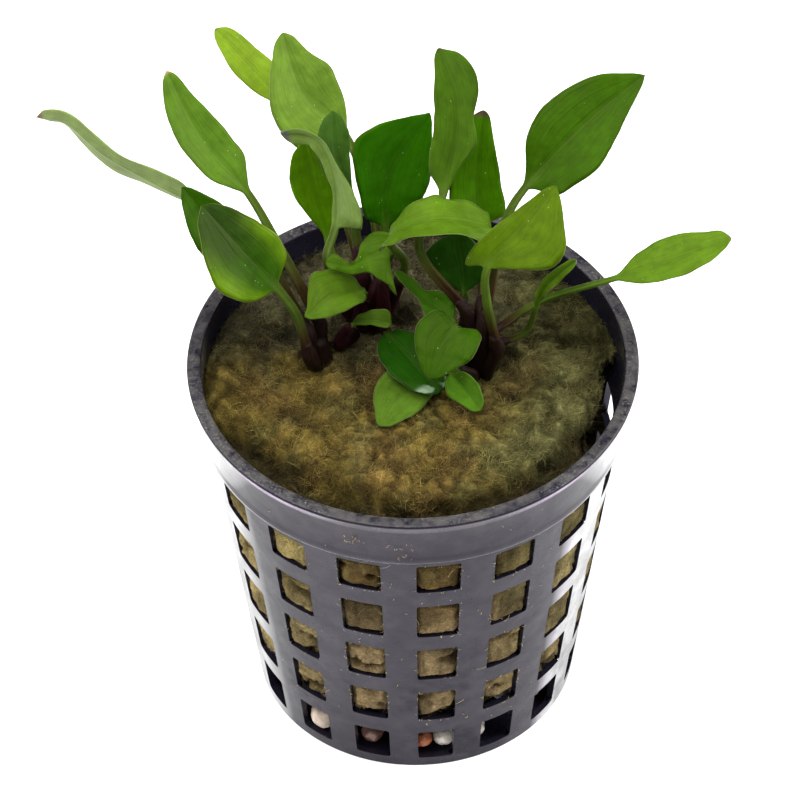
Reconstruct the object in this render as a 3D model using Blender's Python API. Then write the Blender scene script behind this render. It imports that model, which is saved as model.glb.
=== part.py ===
"""Potted cryptocoryne: a net pot, mineral wool, drainage pebbles and a young water plant.

The pot stands on z = 0 with its axis on the world's Z axis, and its front faces -Y.
Sizes are written in millimetres and turned into metres by MM where a mesh is made.
"""

import math
import random

import bmesh
import bpy
from mathutils import Vector, noise

for old in list(bpy.data.objects):
    bpy.data.objects.remove(old, do_unlink=True)

MM = 0.001
GAP = 0.3

# Net pot: a tapered wall with windows, a plain collar and a flat lip.
POT_HEIGHT = 51.0
LIP_RADIUS = 27.0
LIP_WIDTH = 1.7
LIP_THICKNESS = 1.5
LIP_OVERHANG = 0.7
COLLAR_BOTTOM = 42.9
COLLAR_STEP = 0.7
FOOT_RADIUS = 19.3
SHOULDER_RADIUS = 24.95
WALL = 0.8
FLOOR = 1.2
COLUMNS = 16
WINDOW_ANGLE = math.radians(12.5)
FIRST_COLUMN = math.radians(-83.6)
WINDOW_ROWS = ((1.6, 7.0), (9.7, 15.5), (18.3, 24.5), (27.2, 33.5), (36.4, 41.7))
SLOT_RADII = (15.0, 8.0)

# Mineral wool: two slabs that meet at a wavy seam under the plant.
WOOL_BOTTOM = 8.6
WOOL_TOP = 47.9
WOOL_EDGE_DROP = 1.0
SEAM_Y = 6.6
SEAM_WAVE = 0.7
WOOL_RIGHT_GAP = 2.0

# Crowns: the short upright rootstocks that the leaf stalks leave from.
CROWN_FOOT = WOOL_TOP + 0.75
LEFT_CROWN = (-11.3, 3.6, 1.7, 3.2)
MIDDLE_CROWN = (-5.5, 9.8, 1.9, 4.2)
RIGHT_CROWN = (7.4, 1.2, 1.4, 6.4)

# Leaves: rings of eight points, lofted from the stalk's foot to the tip.
STALK_RINGS = 4
WIDTH_SHARES = (0.0, 0.10, 0.22, 0.36, 0.50, 0.65, 0.80, 0.92, 1.0)
STALK_FOOT_RADIUS = 0.68
STALK_TOP_RADIUS = 0.48
RIB_THICKNESS = 0.75
BLADE_THICKNESS = 0.4


def material(name, colour, roughness):
    """A Principled material with one colour and roughness."""
    made = bpy.data.materials.new(name)
    made.use_nodes = True
    shader = made.node_tree.nodes["Principled BSDF"]
    shader.inputs["Base Color"].default_value = (*colour, 1.0)
    shader.inputs["Roughness"].default_value = roughness
    shader.inputs["Metallic"].default_value = 0.0
    return made


POT_PLASTIC = material("pot_plastic", (0.075, 0.070, 0.095), 0.32)
FRONT_WOOL = material("front_wool", (0.30, 0.22, 0.08), 0.95)
BACK_WOOL = material("back_wool", (0.22, 0.22, 0.10), 0.95)
CROWN_SKIN = material("crown_skin", (0.10, 0.04, 0.03), 0.55)
LEAF_GREEN = material("leaf_green", (0.08, 0.25, 0.03), 0.38)
PEBBLE_STONE = material("pebble_stone", (0.55, 0.42, 0.30), 0.60)


def add_object(name, vertices, faces, finish, smooth_angle=40.0):
    """One closed mesh object from points in millimetres, with its faces turned outwards."""
    mesh = bpy.data.meshes.new(name)
    mesh.from_pydata([tuple(c * MM for c in v) for v in vertices], [], faces)
    shape = bmesh.new()
    shape.from_mesh(mesh)
    bmesh.ops.triangulate(shape, faces=shape.faces)
    bmesh.ops.recalc_face_normals(shape, faces=shape.faces)
    shape.to_mesh(mesh)
    shape.free()
    mesh.shade_smooth()
    mesh.set_sharp_from_angle(angle=math.radians(smooth_angle))
    mesh.materials.append(finish)
    made = bpy.data.objects.new(name, mesh)
    bpy.context.scene.collection.objects.link(made)
    return made


def smooth_step(low, high, value):
    """0 below low, 1 above high, and a smooth rise between."""
    share = min(max((value - low) / (high - low), 0.0), 1.0)
    return share * share * (3.0 - 2.0 * share)


def wall_radius(z):
    """The outer radius of the tapered wall at height z."""
    return FOOT_RADIUS + (SHOULDER_RADIUS - FOOT_RADIUS) * z / COLLAR_BOTTOM


def build_pot():
    """A grid of rings and column lines, with faces left out and edged where it is open."""
    lines = []
    for column in range(COLUMNS):
        middle = FIRST_COLUMN + column * math.tau / COLUMNS
        lines += [middle - WINDOW_ANGLE / 2, middle + WINDOW_ANGLE / 2]
    count = len(lines)
    vertices, faces = [], []

    def ring(radius, z):
        first = len(vertices)
        for angle in lines:
            vertices.append((radius * math.cos(angle), radius * math.sin(angle), z))
        return first

    def quad(ring_a, ring_b, sector):
        after = (sector + 1) % count
        faces.append((ring_a + sector, ring_a + after, ring_b + after, ring_b + sector))

    def band(ring_a, ring_b, is_open=False):
        for sector in range(count):
            if not (is_open and sector % 2 == 0):
                quad(ring_a, ring_b, sector)

    def edge_openings(outer_a, outer_b, inner_a, inner_b):
        for sector in range(0, count, 2):
            quad(outer_a, inner_a, sector)
            quad(outer_b, inner_b, sector)
            for line in (sector, sector + 1):
                faces.append((outer_a + line, outer_b + line, inner_b + line, inner_a + line))

    heights = [z for row in WINDOW_ROWS for z in row]
    outer = [ring(wall_radius(z), z) for z in heights]
    inner = [ring(wall_radius(z) - WALL, z) for z in heights]
    for i in range(len(heights) - 1):
        is_window = i % 2 == 0
        band(outer[i], outer[i + 1], is_window)
        band(inner[i], inner[i + 1], is_window)
        if is_window:
            edge_openings(outer[i], outer[i + 1], inner[i], inner[i + 1])

    lip_bottom = POT_HEIGHT - LIP_THICKNESS
    lip_inner = LIP_RADIUS - LIP_WIDTH
    upper = [
        (SHOULDER_RADIUS, COLLAR_BOTTOM),
        (SHOULDER_RADIUS + COLLAR_STEP, COLLAR_BOTTOM),
        (LIP_RADIUS - LIP_OVERHANG, lip_bottom),
        (LIP_RADIUS, lip_bottom),
        (LIP_RADIUS, POT_HEIGHT),
        (lip_inner, POT_HEIGHT),
        (SHOULDER_RADIUS + COLLAR_STEP - WALL, COLLAR_BOTTOM),
    ]
    previous = outer[-1]
    for radius, z in upper:
        following = ring(radius, z)
        band(previous, following)
        previous = following
    band(previous, inner[-1])

    foot = ring(FOOT_RADIUS, 0.0)
    floor_edge = ring(wall_radius(FLOOR) - WALL, FLOOR)
    band(outer[0], foot)
    band(inner[0], floor_edge)
    below = [ring(radius, 0.0) for radius in SLOT_RADII]
    above = [ring(radius, FLOOR) for radius in SLOT_RADII]
    band(foot, below[0])
    band(floor_edge, above[0])
    band(below[0], below[1], True)
    band(above[0], above[1], True)
    edge_openings(below[0], below[1], above[0], above[1])
    for last, z in ((below[1], 0.0), (above[1], FLOOR)):
        centre = len(vertices)
        vertices.append((0.0, 0.0, z))
        for sector in range(count):
            faces.append((last + sector, last + (sector + 1) % count, centre))
    return add_object("net_pot", vertices, faces, POT_PLASTIC, 30.0)


def inner_radius(z):
    """The radius of the space inside the pot at height z."""
    if z <= COLLAR_BOTTOM:
        return wall_radius(z) - WALL
    share = (z - COLLAR_BOTTOM) / (POT_HEIGHT - COLLAR_BOTTOM)
    low = SHOULDER_RADIUS + COLLAR_STEP - WALL
    return low + (LIP_RADIUS - LIP_WIDTH - low) * share


def wool_radius(angle, z):
    """The wool's outline: close to the wall, and pulled in near the top on the right."""
    turn = math.atan2(math.sin(angle - math.radians(-12.0)), math.cos(angle - math.radians(-12.0)))
    side = 1.0 - smooth_step(math.radians(18.0), math.radians(48.0), abs(turn))
    pulled_in = WOOL_RIGHT_GAP * side * smooth_step(30.0, 42.0, z)
    facet_room = 0.15
    return inner_radius(z) - facet_room - GAP - pulled_in


def seam_y(x):
    """The line where the two slabs meet."""
    return SEAM_Y + SEAM_WAVE * math.sin(x / 7.0)


def seam_angle(z, side, start):
    """The angle, near start, at which a slab's outline meets the seam."""
    angle = start
    for _ in range(8):
        radius = wool_radius(angle, z)
        height = seam_y(radius * math.cos(angle)) + side * GAP / 2
        lean = math.asin(min(height / radius, 1.0))
        angle = lean if start == 0.0 else math.pi - lean
    return angle


def build_wool(name, side, finish):
    """One slab: side is -1 for the front and +1 for the back."""
    arc_points, seam_points = 15, 8

    def outline(z, inset):
        near = 1.0 - inset
        right, left = seam_angle(z, side, 0.0), seam_angle(z, side, math.pi)
        low, high = (left, math.tau + right) if side < 0 else (right, left)
        points = []
        for i in range(arc_points):
            angle = low + (high - low) * i / (arc_points - 1)
            radius = wool_radius(angle, z)
            points.append((radius * math.cos(angle), radius * math.sin(angle)))
        first, last = points[-1], points[0]
        for i in range(1, seam_points + 1):
            share = i / (seam_points + 1)
            x = first[0] + (last[0] - first[0]) * share
            points.append((x, seam_y(x) + side * GAP / 2))
        middle_x = sum(p[0] for p in points) / len(points)
        middle_y = sum(p[1] for p in points) / len(points)
        return [(middle_x + (x - middle_x) * near, middle_y + (y - middle_y) * near) for x, y in points]

    levels = (WOOL_BOTTOM, 20.0, 32.0, 42.0, WOOL_TOP - WOOL_EDGE_DROP)
    rings = [[(x, y, z) for x, y in outline(z, 0.0)] for z in levels]
    for inset, drop in ((0.06, 0.5), (0.30, 0.1), (0.65, 0.0)):
        top = []
        for x, y in outline(levels[-1], inset):
            lump = 0.35 * noise.noise(Vector((x / 6.0, y / 6.0, 3.0 * side)))
            top.append((x, y, WOOL_TOP - drop + min(lump, 0.0)))
        rings.append(top)
    count = len(rings[0])
    vertices = [point for one in rings for point in one]
    faces = [tuple(range(count))]
    for level in range(len(rings) - 1):
        for i in range(count):
            after = (i + 1) % count
            low, high = level * count, (level + 1) * count
            faces.append((low + i, low + after, high + after, high + i))
    last = (len(rings) - 1) * count
    faces.append(tuple(last + i for i in range(count)))
    return add_object(name, vertices, faces, finish, 60.0)


def build_crown(name, place):
    """A rootstock: a short tapered stub with a ragged, slightly lumpy skin."""
    x, y, radius, height = place
    sides = 8
    shares = ((0.0, 0.85), (0.25, 1.0), (0.7, 0.92), (1.0, 0.62))
    vertices, faces = [], []
    for share, size in shares:
        for i in range(sides):
            angle = math.tau * i / sides
            reach = radius * size * (1.0 + 0.05 * math.sin(3 * angle + 5 * share))
            vertices.append((x + reach * math.cos(angle), y + reach * math.sin(angle),
                             CROWN_FOOT - GAP + share * height))
    for level in range(len(shares) - 1):
        for i in range(sides):
            after = (i + 1) % sides
            low, high = level * sides, (level + 1) * sides
            faces.append((low + i, low + after, high + after, high + i))
    faces.append(tuple(range(sides)))
    faces.append(tuple((len(shares) - 1) * sides + i for i in range(sides)))
    return add_object(name, vertices, faces, CROWN_SKIN)


def curve_point(points, share):
    """A point on the smooth curve through the given points, evenly shared between them."""
    spans = len(points) - 1
    place = min(max(share, 0.0), 1.0) * spans
    i = min(int(place), spans - 1)
    t = place - i
    p1, p2 = points[i], points[i + 1]
    p0 = points[i - 1] if i > 0 else p1 * 2 - p2
    p3 = points[i + 2] if i + 2 <= spans else p2 * 2 - p1
    return 0.5 * (2 * p1 + (p2 - p0) * t + (2 * p0 - 5 * p1 + 4 * p2 - p3) * t ** 2
                  + (3 * p1 - p0 - 3 * p2 + p3) * t ** 3)


def build_leaf(name, stalk, blade, left, right, roll=0.0, twist=0.0, fold=14.0, lobe=(0.0, 0.0),
               stalk_radius=1.0):
    """One leaf: stalk gives its foot and bend, blade its base, middle and tip, all in mm.

    left and right are the half widths at WIDTH_SHARES of the blade, roll turns the blade about
    its rib in degrees, twist adds to that towards the tip, fold raises each half into a shallow
    trough, and lobe moves the foot of each half back along the rib.
    """
    route = [Vector(p) for p in (*stalk, *blade)]
    base_at = len(stalk) / (len(route) - 1)
    stations = [base_at * i / STALK_RINGS for i in range(STALK_RINGS)]
    stations += [base_at + (1.0 - base_at) * share for share in WIDTH_SHARES]
    places = [curve_point(route, s) for s in stations]
    step = 0.004
    tangents = [(curve_point(route, s + step) - curve_point(route, s - step)).normalized()
                for s in stations]

    start = STALK_RINGS
    along = tangents[start]
    level_side = along.cross(Vector((0.0, 0.0, 1.0))).normalized()
    sides = [None] * len(stations)
    angle = math.radians(roll)
    sides[start] = level_side * math.cos(angle) + level_side.cross(along) * math.sin(angle)
    for i in range(start + 1, len(stations)):
        kept = sides[i - 1] - tangents[i] * sides[i - 1].dot(tangents[i])
        sides[i] = kept.normalized()
    for i in range(start - 1, -1, -1):
        kept = sides[i + 1] - tangents[i] * sides[i + 1].dot(tangents[i])
        sides[i] = kept.normalized()

    vertices = []
    for i, (place, along) in enumerate(zip(places, tangents)):
        share = (stations[i] - base_at) / (1.0 - base_at)
        turn = math.radians(twist) * max(share, 0.0)
        side = sides[i] * math.cos(turn) + sides[i].cross(along) * math.sin(turn)
        up = side.cross(along)
        if i < start:
            taper = (STALK_TOP_RADIUS - STALK_FOOT_RADIUS) * stations[i] / base_at
            radius = (STALK_FOOT_RADIUS + taper) * stalk_radius
            for k in range(8):
                angle = math.pi - math.tau * k / 8
                vertices.append(place + radius * (side * math.cos(angle) + up * math.sin(angle)))
            continue
        thick = RIB_THICKNESS * (1.0 - 0.6 * share) / 2
        thin = min(BLADE_THICKNESS / 2, thick)
        reach_left, reach_right = max(left[i - start], 0.3), max(right[i - start], 0.3)
        raised = math.radians(fold) * smooth_step(0.0, 0.15, share)
        lobe_share = 1.0 - smooth_step(0.0, 0.5, share)

        def point(across, lift):
            """A point of the ring: across runs from -1 on the left to 1 on the right."""
            reach = (reach_right if across > 0 else reach_left) * across
            rise = abs(reach) * math.sin(raised)
            run = reach * math.cos(raised)
            back = (lobe[1] if across > 0 else lobe[0]) * lobe_share * abs(across)
            return place + side * run + up * (rise + lift) - along * back

        vertices += [point(-1, 0), point(-0.5, thin), point(0, thick), point(0.5, thin),
                     point(1, 0), point(0.5, -thin), point(0, -thick), point(-0.5, -thin)]
    faces = [tuple(range(8))]
    rings = len(vertices) // 8
    for level in range(rings - 1):
        for k in range(8):
            after = (k + 1) % 8
            low, high = level * 8, (level + 1) * 8
            faces.append((low + k, low + after, high + after, high + k))
    faces.append(tuple((rings - 1) * 8 + k for k in range(8)))
    return add_object(name, [tuple(v) for v in vertices], faces, LEAF_GREEN, 70.0)


def build_leaves():
    """Every leaf by hand, grouped by the crown that it grows from."""
    build_leaf("leaf_far_left", [(-12.6, 5.7, 50.9), (-18.6, 12.0, 60.0)],
               [(-25.4, 14.0, 64.2), (-30.8, 15.5, 66.7), (-36.2, 16.5, 70.1), (-40.7, 17.4, 74.6),
                (-44.2, 18.0, 75.1)],
               (0.9, 2.2, 2.3, 2.0, 1.7, 1.5, 1.9, 1.7, 0.5), (0.9, 1.9, 2.4, 2.8, 2.5, 1.6, 0.9, 0.7, 0.4),
               roll=-75, fold=6)
    build_leaf("leaf_upper_left", [(-11.0, 4.7, 53.0), (-15.9, 9.5, 61.6)],
               [(-19.4, 12.5, 67.4), (-24.7, 17.0, 72.3), (-28.8, 22.0, 78.4)],
               (0.5, 1.4, 2.7, 3.1, 3.3, 3.1, 2.4, 1.5, 0.6), (0.5, 1.3, 2.6, 2.8, 2.7, 2.2, 1.5, 1.0, 0.5),
               roll=15)
    build_leaf("leaf_left_behind", [(-12.4, 3.0, 53.0), (-15.6, 5.9, 57.0)],
               [(-18.7, 8.5, 59.6), (-23.4, 10.0, 64.3), (-27.1, 11.5, 69.4)],
               (0.5, 1.6, 2.9, 3.8, 4.0, 3.4, 2.4, 1.3, 0.4), (0.5, 1.2, 1.9, 2.4, 2.6, 2.3, 1.6, 0.9, 0.3),
               roll=22)
    build_leaf("leaf_left_large", [(-12.2, 1.2, 50.4), (-13.7, 1.8, 57.2)],
               [(-16.1, 2.0, 61.8), (-20.3, 3.0, 67.5), (-24.7, 5.5, 72.2)],
               (0.8, 2.8, 4.9, 6.2, 6.7, 5.8, 4.1, 2.4, 0.6), (0.7, 3.2, 4.1, 4.2, 4.1, 3.5, 2.5, 1.5, 0.5),
               roll=25, stalk_radius=1.05)

    build_leaf("leaf_back_far", [(-5.4, 12.8, 51.0), (-8.5, 19.5, 58.5)],
               [(-13.1, 26.0, 66.1), (-18.1, 30.0, 69.8), (-23.2, 35.0, 72.8)],
               (0.4, 0.8, 1.3, 1.8, 2.1, 2.2, 1.7, 1.1, 0.5), (0.4, 1.1, 1.9, 2.3, 2.4, 2.1, 1.9, 1.4, 0.6),
               roll=15)
    build_leaf("leaf_back_tall", [(-3.6, 12.2, 51.6), (-4.6, 17.4, 59.8)],
               [(-7.7, 22.9, 66.6), (-12.7, 26.4, 70.9), (-15.1, 31.0, 75.8)],
               (1.0, 4.4, 6.1, 6.2, 5.3, 3.9, 2.6, 1.6, 0.6), (0.4, 1.5, 3.0, 3.9, 4.2, 3.8, 2.3, 1.4, 0.6),
               roll=12, lobe=(1.2, 0.0))
    build_leaf("leaf_back_small", [(-5.9, 10.7, 54.0), (-6.6, 14.0, 58.8)],
               [(-7.3, 16.6, 63.4), (-8.9, 18.6, 68.3), (-9.2, 21.0, 72.4)],
               (0.4, 1.2, 2.1, 2.6, 2.7, 2.6, 2.2, 1.5, 0.5), (0.4, 0.6, 1.0, 1.5, 1.8, 1.9, 1.6, 1.1, 0.4),
               roll=0)
    build_leaf("leaf_twisted", [(-8.8, 11.0, 51.0), (-10.1, 10.9, 57.6)],
               [(-9.1, 12.2, 61.6), (-9.0, 14.2, 67.4), (-11.0, 16.6, 71.9), (-15.4, 17.9, 72.0)],
               (0.4, 0.5, 0.6, 0.8, 1.0, 1.4, 1.7, 1.3, 0.5), (1.0, 4.8, 5.2, 3.4, 2.2, 2.0, 1.9, 1.4, 0.5),
               roll=15, twist=15, fold=20)
    build_leaf("leaf_ovate_behind", [(-7.3, 12.3, 51.4), (-9.4, 13.6, 54.8)],
               [(-10.0, 15.0, 57.1), (-11.5, 17.3, 62.7), (-12.7, 19.4, 69.0)],
               (0.4, 0.6, 1.2, 2.0, 2.7, 2.9, 2.6, 1.9, 0.6), (0.4, 0.9, 1.7, 2.7, 3.5, 3.9, 3.6, 2.6, 0.9),
               roll=10)
    build_leaf("leaf_centre_large", [(-4.2, 9.4, 54.0), (-2.6, 12.5, 56.5)],
               [(-3.1, 14.0, 60.1), (-2.4, 16.0, 66.8), (2.4, 19.0, 73.8)],
               (0.9, 2.4, 3.1, 3.8, 5.4, 7.4, 6.0, 2.9, 0.5), (1.2, 3.5, 4.3, 4.7, 4.9, 4.5, 3.0, 1.3, 0.4),
               roll=-18)
    build_leaf("leaf_centre_folded", [(-2.6, 9.2, 51.6), (-0.9, 8.8, 58.8)],
               [(-2.6, 6.5, 65.4), (2.8, 5.0, 69.6), (9.5, 6.9, 66.4)],
               (1.4, 1.7, 2.1, 3.0, 3.6, 3.6, 3.2, 2.8, 2.4), (1.6, 2.6, 3.4, 4.1, 4.8, 5.0, 4.9, 4.8, 4.8),
               roll=-25, fold=18, lobe=(1.4, 1.0))
    build_leaf("leaf_small_folded", [(-3.4, 7.6, 52.3), (-3.4, 8.0, 57.5)],
               [(-2.3, 8.6, 61.0), (-5.0, 8.0, 60.8), (-7.4, 7.7, 59.5), (-10.2, 8.2, 59.8)],
               (2.6, 5.6, 4.2, 2.5, 1.5, 1.1, 0.8, 0.7, 0.5), (1.8, 2.3, 2.6, 1.9, 0.6, 0.4, 0.9, 1.2, 0.5),
               roll=30, fold=4)
    build_leaf("leaf_small_left", [(-5.8, 7.0, 50.9), (-6.2, 7.6, 53.6)],
               [(-5.7, 7.2, 55.8), (-9.0, 5.0, 57.1), (-12.8, 3.0, 55.8)],
               (0.4, 1.3, 2.1, 2.5, 2.6, 2.4, 1.9, 1.2, 0.5), (0.4, 1.2, 2.2, 3.2, 3.7, 3.7, 2.0, 0.7, 0.3),
               roll=20)
    build_leaf("leaf_small_curved", [(-8.8, 4.9, 48.9), (-8.5, 5.1, 50.4)],
               [(-7.2, 5.2, 52.0), (-5.1, 4.7, 53.2), (-2.5, 4.2, 53.1)],
               (0.3, 0.4, 0.7, 1.0, 1.3, 1.5, 1.6, 1.4, 0.7), (0.3, 0.4, 0.5, 0.7, 0.8, 0.9, 0.9, 0.8, 0.5),
               roll=-20, fold=30, stalk_radius=0.8)
    build_leaf("leaf_dark_lower", [(-3.8, 7.2, 50.0), (-3.4, 6.2, 50.6)],
               [(-3.1, 5.0, 50.9), (-0.1, 0.2, 50.7), (3.1, -4.6, 50.3)],
               (0.5, 1.6, 2.4, 2.9, 3.1, 3.0, 2.5, 1.9, 1.0), (0.5, 1.7, 2.6, 3.1, 3.3, 3.0, 2.4, 1.6, 0.8),
               roll=-8, fold=6)

    build_leaf("leaf_big_right", [(8.4, 0.7, 56.3), (10.8, 6.0, 66.6)],
               [(13.6, 9.2, 70.9), (20.7, 14.0, 76.3), (27.9, 19.0, 79.6)],
               (0.5, 1.5, 3.7, 4.9, 4.9, 4.3, 3.1, 1.5, 0.3), (0.6, 3.8, 4.8, 5.5, 4.8, 3.5, 2.2, 1.1, 0.3),
               roll=-18)
    build_leaf("leaf_upright_right", [(8.3, 2.7, 56.3), (8.7, 9.4, 59.2)],
               [(8.2, 10.8, 62.8), (8.0, 13.6, 69.3), (8.8, 18.0, 75.1)],
               (0.9, 2.4, 3.6, 3.8, 3.4, 2.8, 2.1, 1.6, 0.9), (1.2, 2.9, 3.2, 2.9, 2.6, 2.1, 1.5, 1.0, 0.6),
               roll=0)
    build_leaf("leaf_upright_centre", [(6.7, 2.6, 56.5), (0.9, 5.9, 64.2)],
               [(4.0, 10.5, 69.0), (5.7, 15.0, 77.3), (3.5, 20.0, 83.5)],
               (1.6, 2.4, 2.8, 2.9, 2.9, 2.5, 1.7, 1.0, 0.4), (0.4, 0.8, 1.6, 3.1, 2.4, 3.8, 4.1, 3.0, 0.9),
               roll=0)
    build_leaf("leaf_right_front", [(10.1, 0.1, 52.8), (8.8, -0.9, 61.8)],
               [(9.0, -0.8, 67.8), (12.9, 1.5, 72.0), (17.1, 4.5, 75.7)],
               (2.7, 2.7, 2.6, 2.3, 2.0, 1.6, 1.1, 0.7, 0.3), (0.6, 1.9, 3.8, 5.9, 7.0, 6.4, 4.2, 2.0, 0.4),
               roll=-16, fold=8, lobe=(2.3, 0.0))
    build_leaf("leaf_heart", [(5.0, 0.3, 52.6), (5.2, -1.1, 57.0)],
               [(5.2, -1.5, 58.3), (3.3, -3.5, 56.9), (1.9, -6.2, 54.4)],
               (1.7, 3.2, 3.9, 4.2, 4.0, 3.4, 2.5, 1.4, 0.4), (1.9, 3.0, 3.6, 3.9, 3.5, 2.7, 1.8, 1.0, 0.4),
               roll=14, fold=8, lobe=(1.5, 0.6))
    build_leaf("leaf_rounded", [(5.0, 2.6, 51.8), (4.9, 2.2, 54.6)],
               [(4.8, 1.2, 56.3), (1.9, 2.9, 57.9), (-2.0, 5.7, 60.6)],
               (1.0, 1.8, 2.1, 2.0, 1.4, 0.8, 0.9, 0.6, 0.3), (0.6, 1.3, 2.0, 2.5, 2.2, 1.0, 0.8, 0.6, 0.3),
               roll=12)
    build_leaf("leaf_small_right", [(6.8, -1.3, 50.2), (5.4, -1.9, 51.6)],
               [(4.6, -2.5, 51.5), (6.2, -4.5, 50.6), (7.9, -7.0, 49.6)],
               (0.4, 0.9, 1.3, 1.6, 1.7, 1.6, 1.3, 0.9, 0.3), (0.4, 1.1, 1.8, 2.2, 2.1, 1.7, 1.3, 0.9, 0.3),
               roll=-12, stalk_radius=0.8)
    build_leaf("leaf_dark_behind", [(6.4, 3.8, 51.6), (6.2, 4.7, 54.5)],
               [(6.2, 5.3, 57.3), (6.0, 7.0, 60.2), (5.4, 9.3, 63.4)],
               (0.4, 1.3, 2.5, 3.3, 3.9, 4.3, 4.1, 2.6, 0.7), (0.4, 1.3, 2.4, 2.8, 2.8, 2.5, 2.0, 1.2, 0.4),
               roll=0, fold=4)
    build_leaf("leaf_narrow_folded", [(10.0, 4.6, 49.0), (13.5, 5.6, 50.0)],
               [(14.8, 6.0, 53.6), (16.1, 7.4, 56.0), (19.7, 8.7, 59.0)],
               (0.3, 0.4, 0.6, 0.8, 0.9, 0.9, 0.8, 0.7, 0.4), (0.3, 0.4, 0.7, 1.1, 1.3, 1.3, 1.1, 0.9, 0.4),
               roll=-20, fold=40, stalk_radius=0.65)
    build_leaf("leaf_far_right", [(9.2, 3.6, 51.8), (15.6, 7.9, 53.0)],
               [(24.2, 5.6, 59.0), (31.1, 6.1, 61.4), (38.0, 7.0, 64.1)],
               (0.5, 1.2, 2.3, 2.9, 3.0, 2.8, 2.2, 1.5, 0.6), (0.5, 1.4, 2.7, 3.3, 3.4, 3.2, 2.7, 1.8, 0.7),
               roll=-12, stalk_radius=0.8)
    build_leaf("leaf_lowest", [(5.1, -0.1, 49.8), (3.4, 0.4, 49.4)],
               [(1.8, 0.0, 49.1), (-2.0, -4.2, 48.9), (-4.1, -8.5, 48.8)],
               (0.6, 2.0, 2.9, 3.2, 3.2, 2.9, 2.3, 1.4, 0.5), (0.6, 2.2, 3.1, 3.3, 3.0, 2.3, 1.4, 0.8, 0.4),
               roll=8, fold=4, stalk_radius=0.7)


def build_pebble(name, place, size, seed):
    """A water-worn stone: a small ball, squashed and made uneven."""
    rng = random.Random(seed)
    shape = bmesh.new()
    bmesh.ops.create_icosphere(shape, subdivisions=2, radius=1.0)
    shift = Vector((rng.uniform(0, 9), rng.uniform(0, 9), rng.uniform(0, 9)))
    turn = rng.uniform(0, math.tau)
    vertices = []
    for vertex in shape.verts:
        uneven = 1.0 + 0.22 * noise.noise(vertex.co * 1.3 + shift)
        x, y, z = (vertex.co.x * size[0] * uneven, vertex.co.y * size[1] * uneven,
                   vertex.co.z * size[2] * uneven)
        vertices.append((place[0] + x * math.cos(turn) - y * math.sin(turn),
                         place[1] + x * math.sin(turn) + y * math.cos(turn), place[2] + z))
    faces = [tuple(v.index for v in face.verts) for face in shape.faces]
    shape.free()
    return add_object(name, vertices, faces, PEBBLE_STONE, 80.0)


def build_pebbles():
    """A loose layer on the pot's floor: five stones in the front windows, a ring and a few inside it."""
    places = [(-130.0, 17.8, (1.65, 1.6, 1.75)), (-108.5, 17.1, (1.4, 1.3, 1.35)),
              (-88.3, 17.3, (1.2, 1.2, 1.2)), (-79.6, 17.3, (1.2, 1.2, 1.25)), (-66.0, 17.1, (1.3, 1.2, 1.3))]
    for i, degrees in enumerate((-36, -6, 26, 58, 92, 128, 165, -162)):
        places.append((degrees, 15.9, (2.3 + 0.2 * (i % 2), 1.9, 2.0)))
    for i in range(3):
        places.append((30.0 + 120.0 * i, 6.5, (3.2, 2.7, 2.3)))
    for i, (degrees, reach, size) in enumerate(places):
        angle = math.radians(degrees)
        height = FLOOR + GAP + size[2] * 1.08
        place = (reach * math.cos(angle), reach * math.sin(angle), height)
        build_pebble(f"pebble_{i + 1}", place, size, 11 + i)


build_pot()
build_wool("wool_front", -1, FRONT_WOOL)
build_wool("wool_back", 1, BACK_WOOL)
build_crown("crown_left", LEFT_CROWN)
build_crown("crown_middle", MIDDLE_CROWN)
build_crown("crown_right", RIGHT_CROWN)
build_leaves()
build_pebbles()
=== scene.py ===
"""Potted cryptocoryne: the dressed net pot, mineral wool, pebbles and leaves.

Shapes are written in millimetres and turned into metres by MM where a mesh is made. In the materials the
heights are in metres, and a texture's scale is the number of its repeats in a metre.
"""
import functools
import math
import random

import bmesh
import bpy
import numpy as np
from mathutils import Matrix, Vector, noise


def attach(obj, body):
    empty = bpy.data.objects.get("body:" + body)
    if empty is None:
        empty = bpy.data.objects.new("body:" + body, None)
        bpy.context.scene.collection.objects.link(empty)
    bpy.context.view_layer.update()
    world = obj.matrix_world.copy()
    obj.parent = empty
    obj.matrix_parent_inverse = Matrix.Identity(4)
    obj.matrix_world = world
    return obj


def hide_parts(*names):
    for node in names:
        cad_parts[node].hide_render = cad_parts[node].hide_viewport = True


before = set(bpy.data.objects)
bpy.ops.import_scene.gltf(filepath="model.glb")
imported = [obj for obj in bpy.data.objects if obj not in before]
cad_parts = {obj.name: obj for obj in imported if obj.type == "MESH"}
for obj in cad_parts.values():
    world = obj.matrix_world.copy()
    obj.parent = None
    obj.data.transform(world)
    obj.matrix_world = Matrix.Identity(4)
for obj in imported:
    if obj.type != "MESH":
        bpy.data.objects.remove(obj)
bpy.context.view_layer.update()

MM = 0.001

# The noise library takes the offsets of its vector noise from this seed, and without one from the clock.
VECTOR_NOISE_SEED = 1
noise.seed_set(VECTOR_NOISE_SEED)

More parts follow.
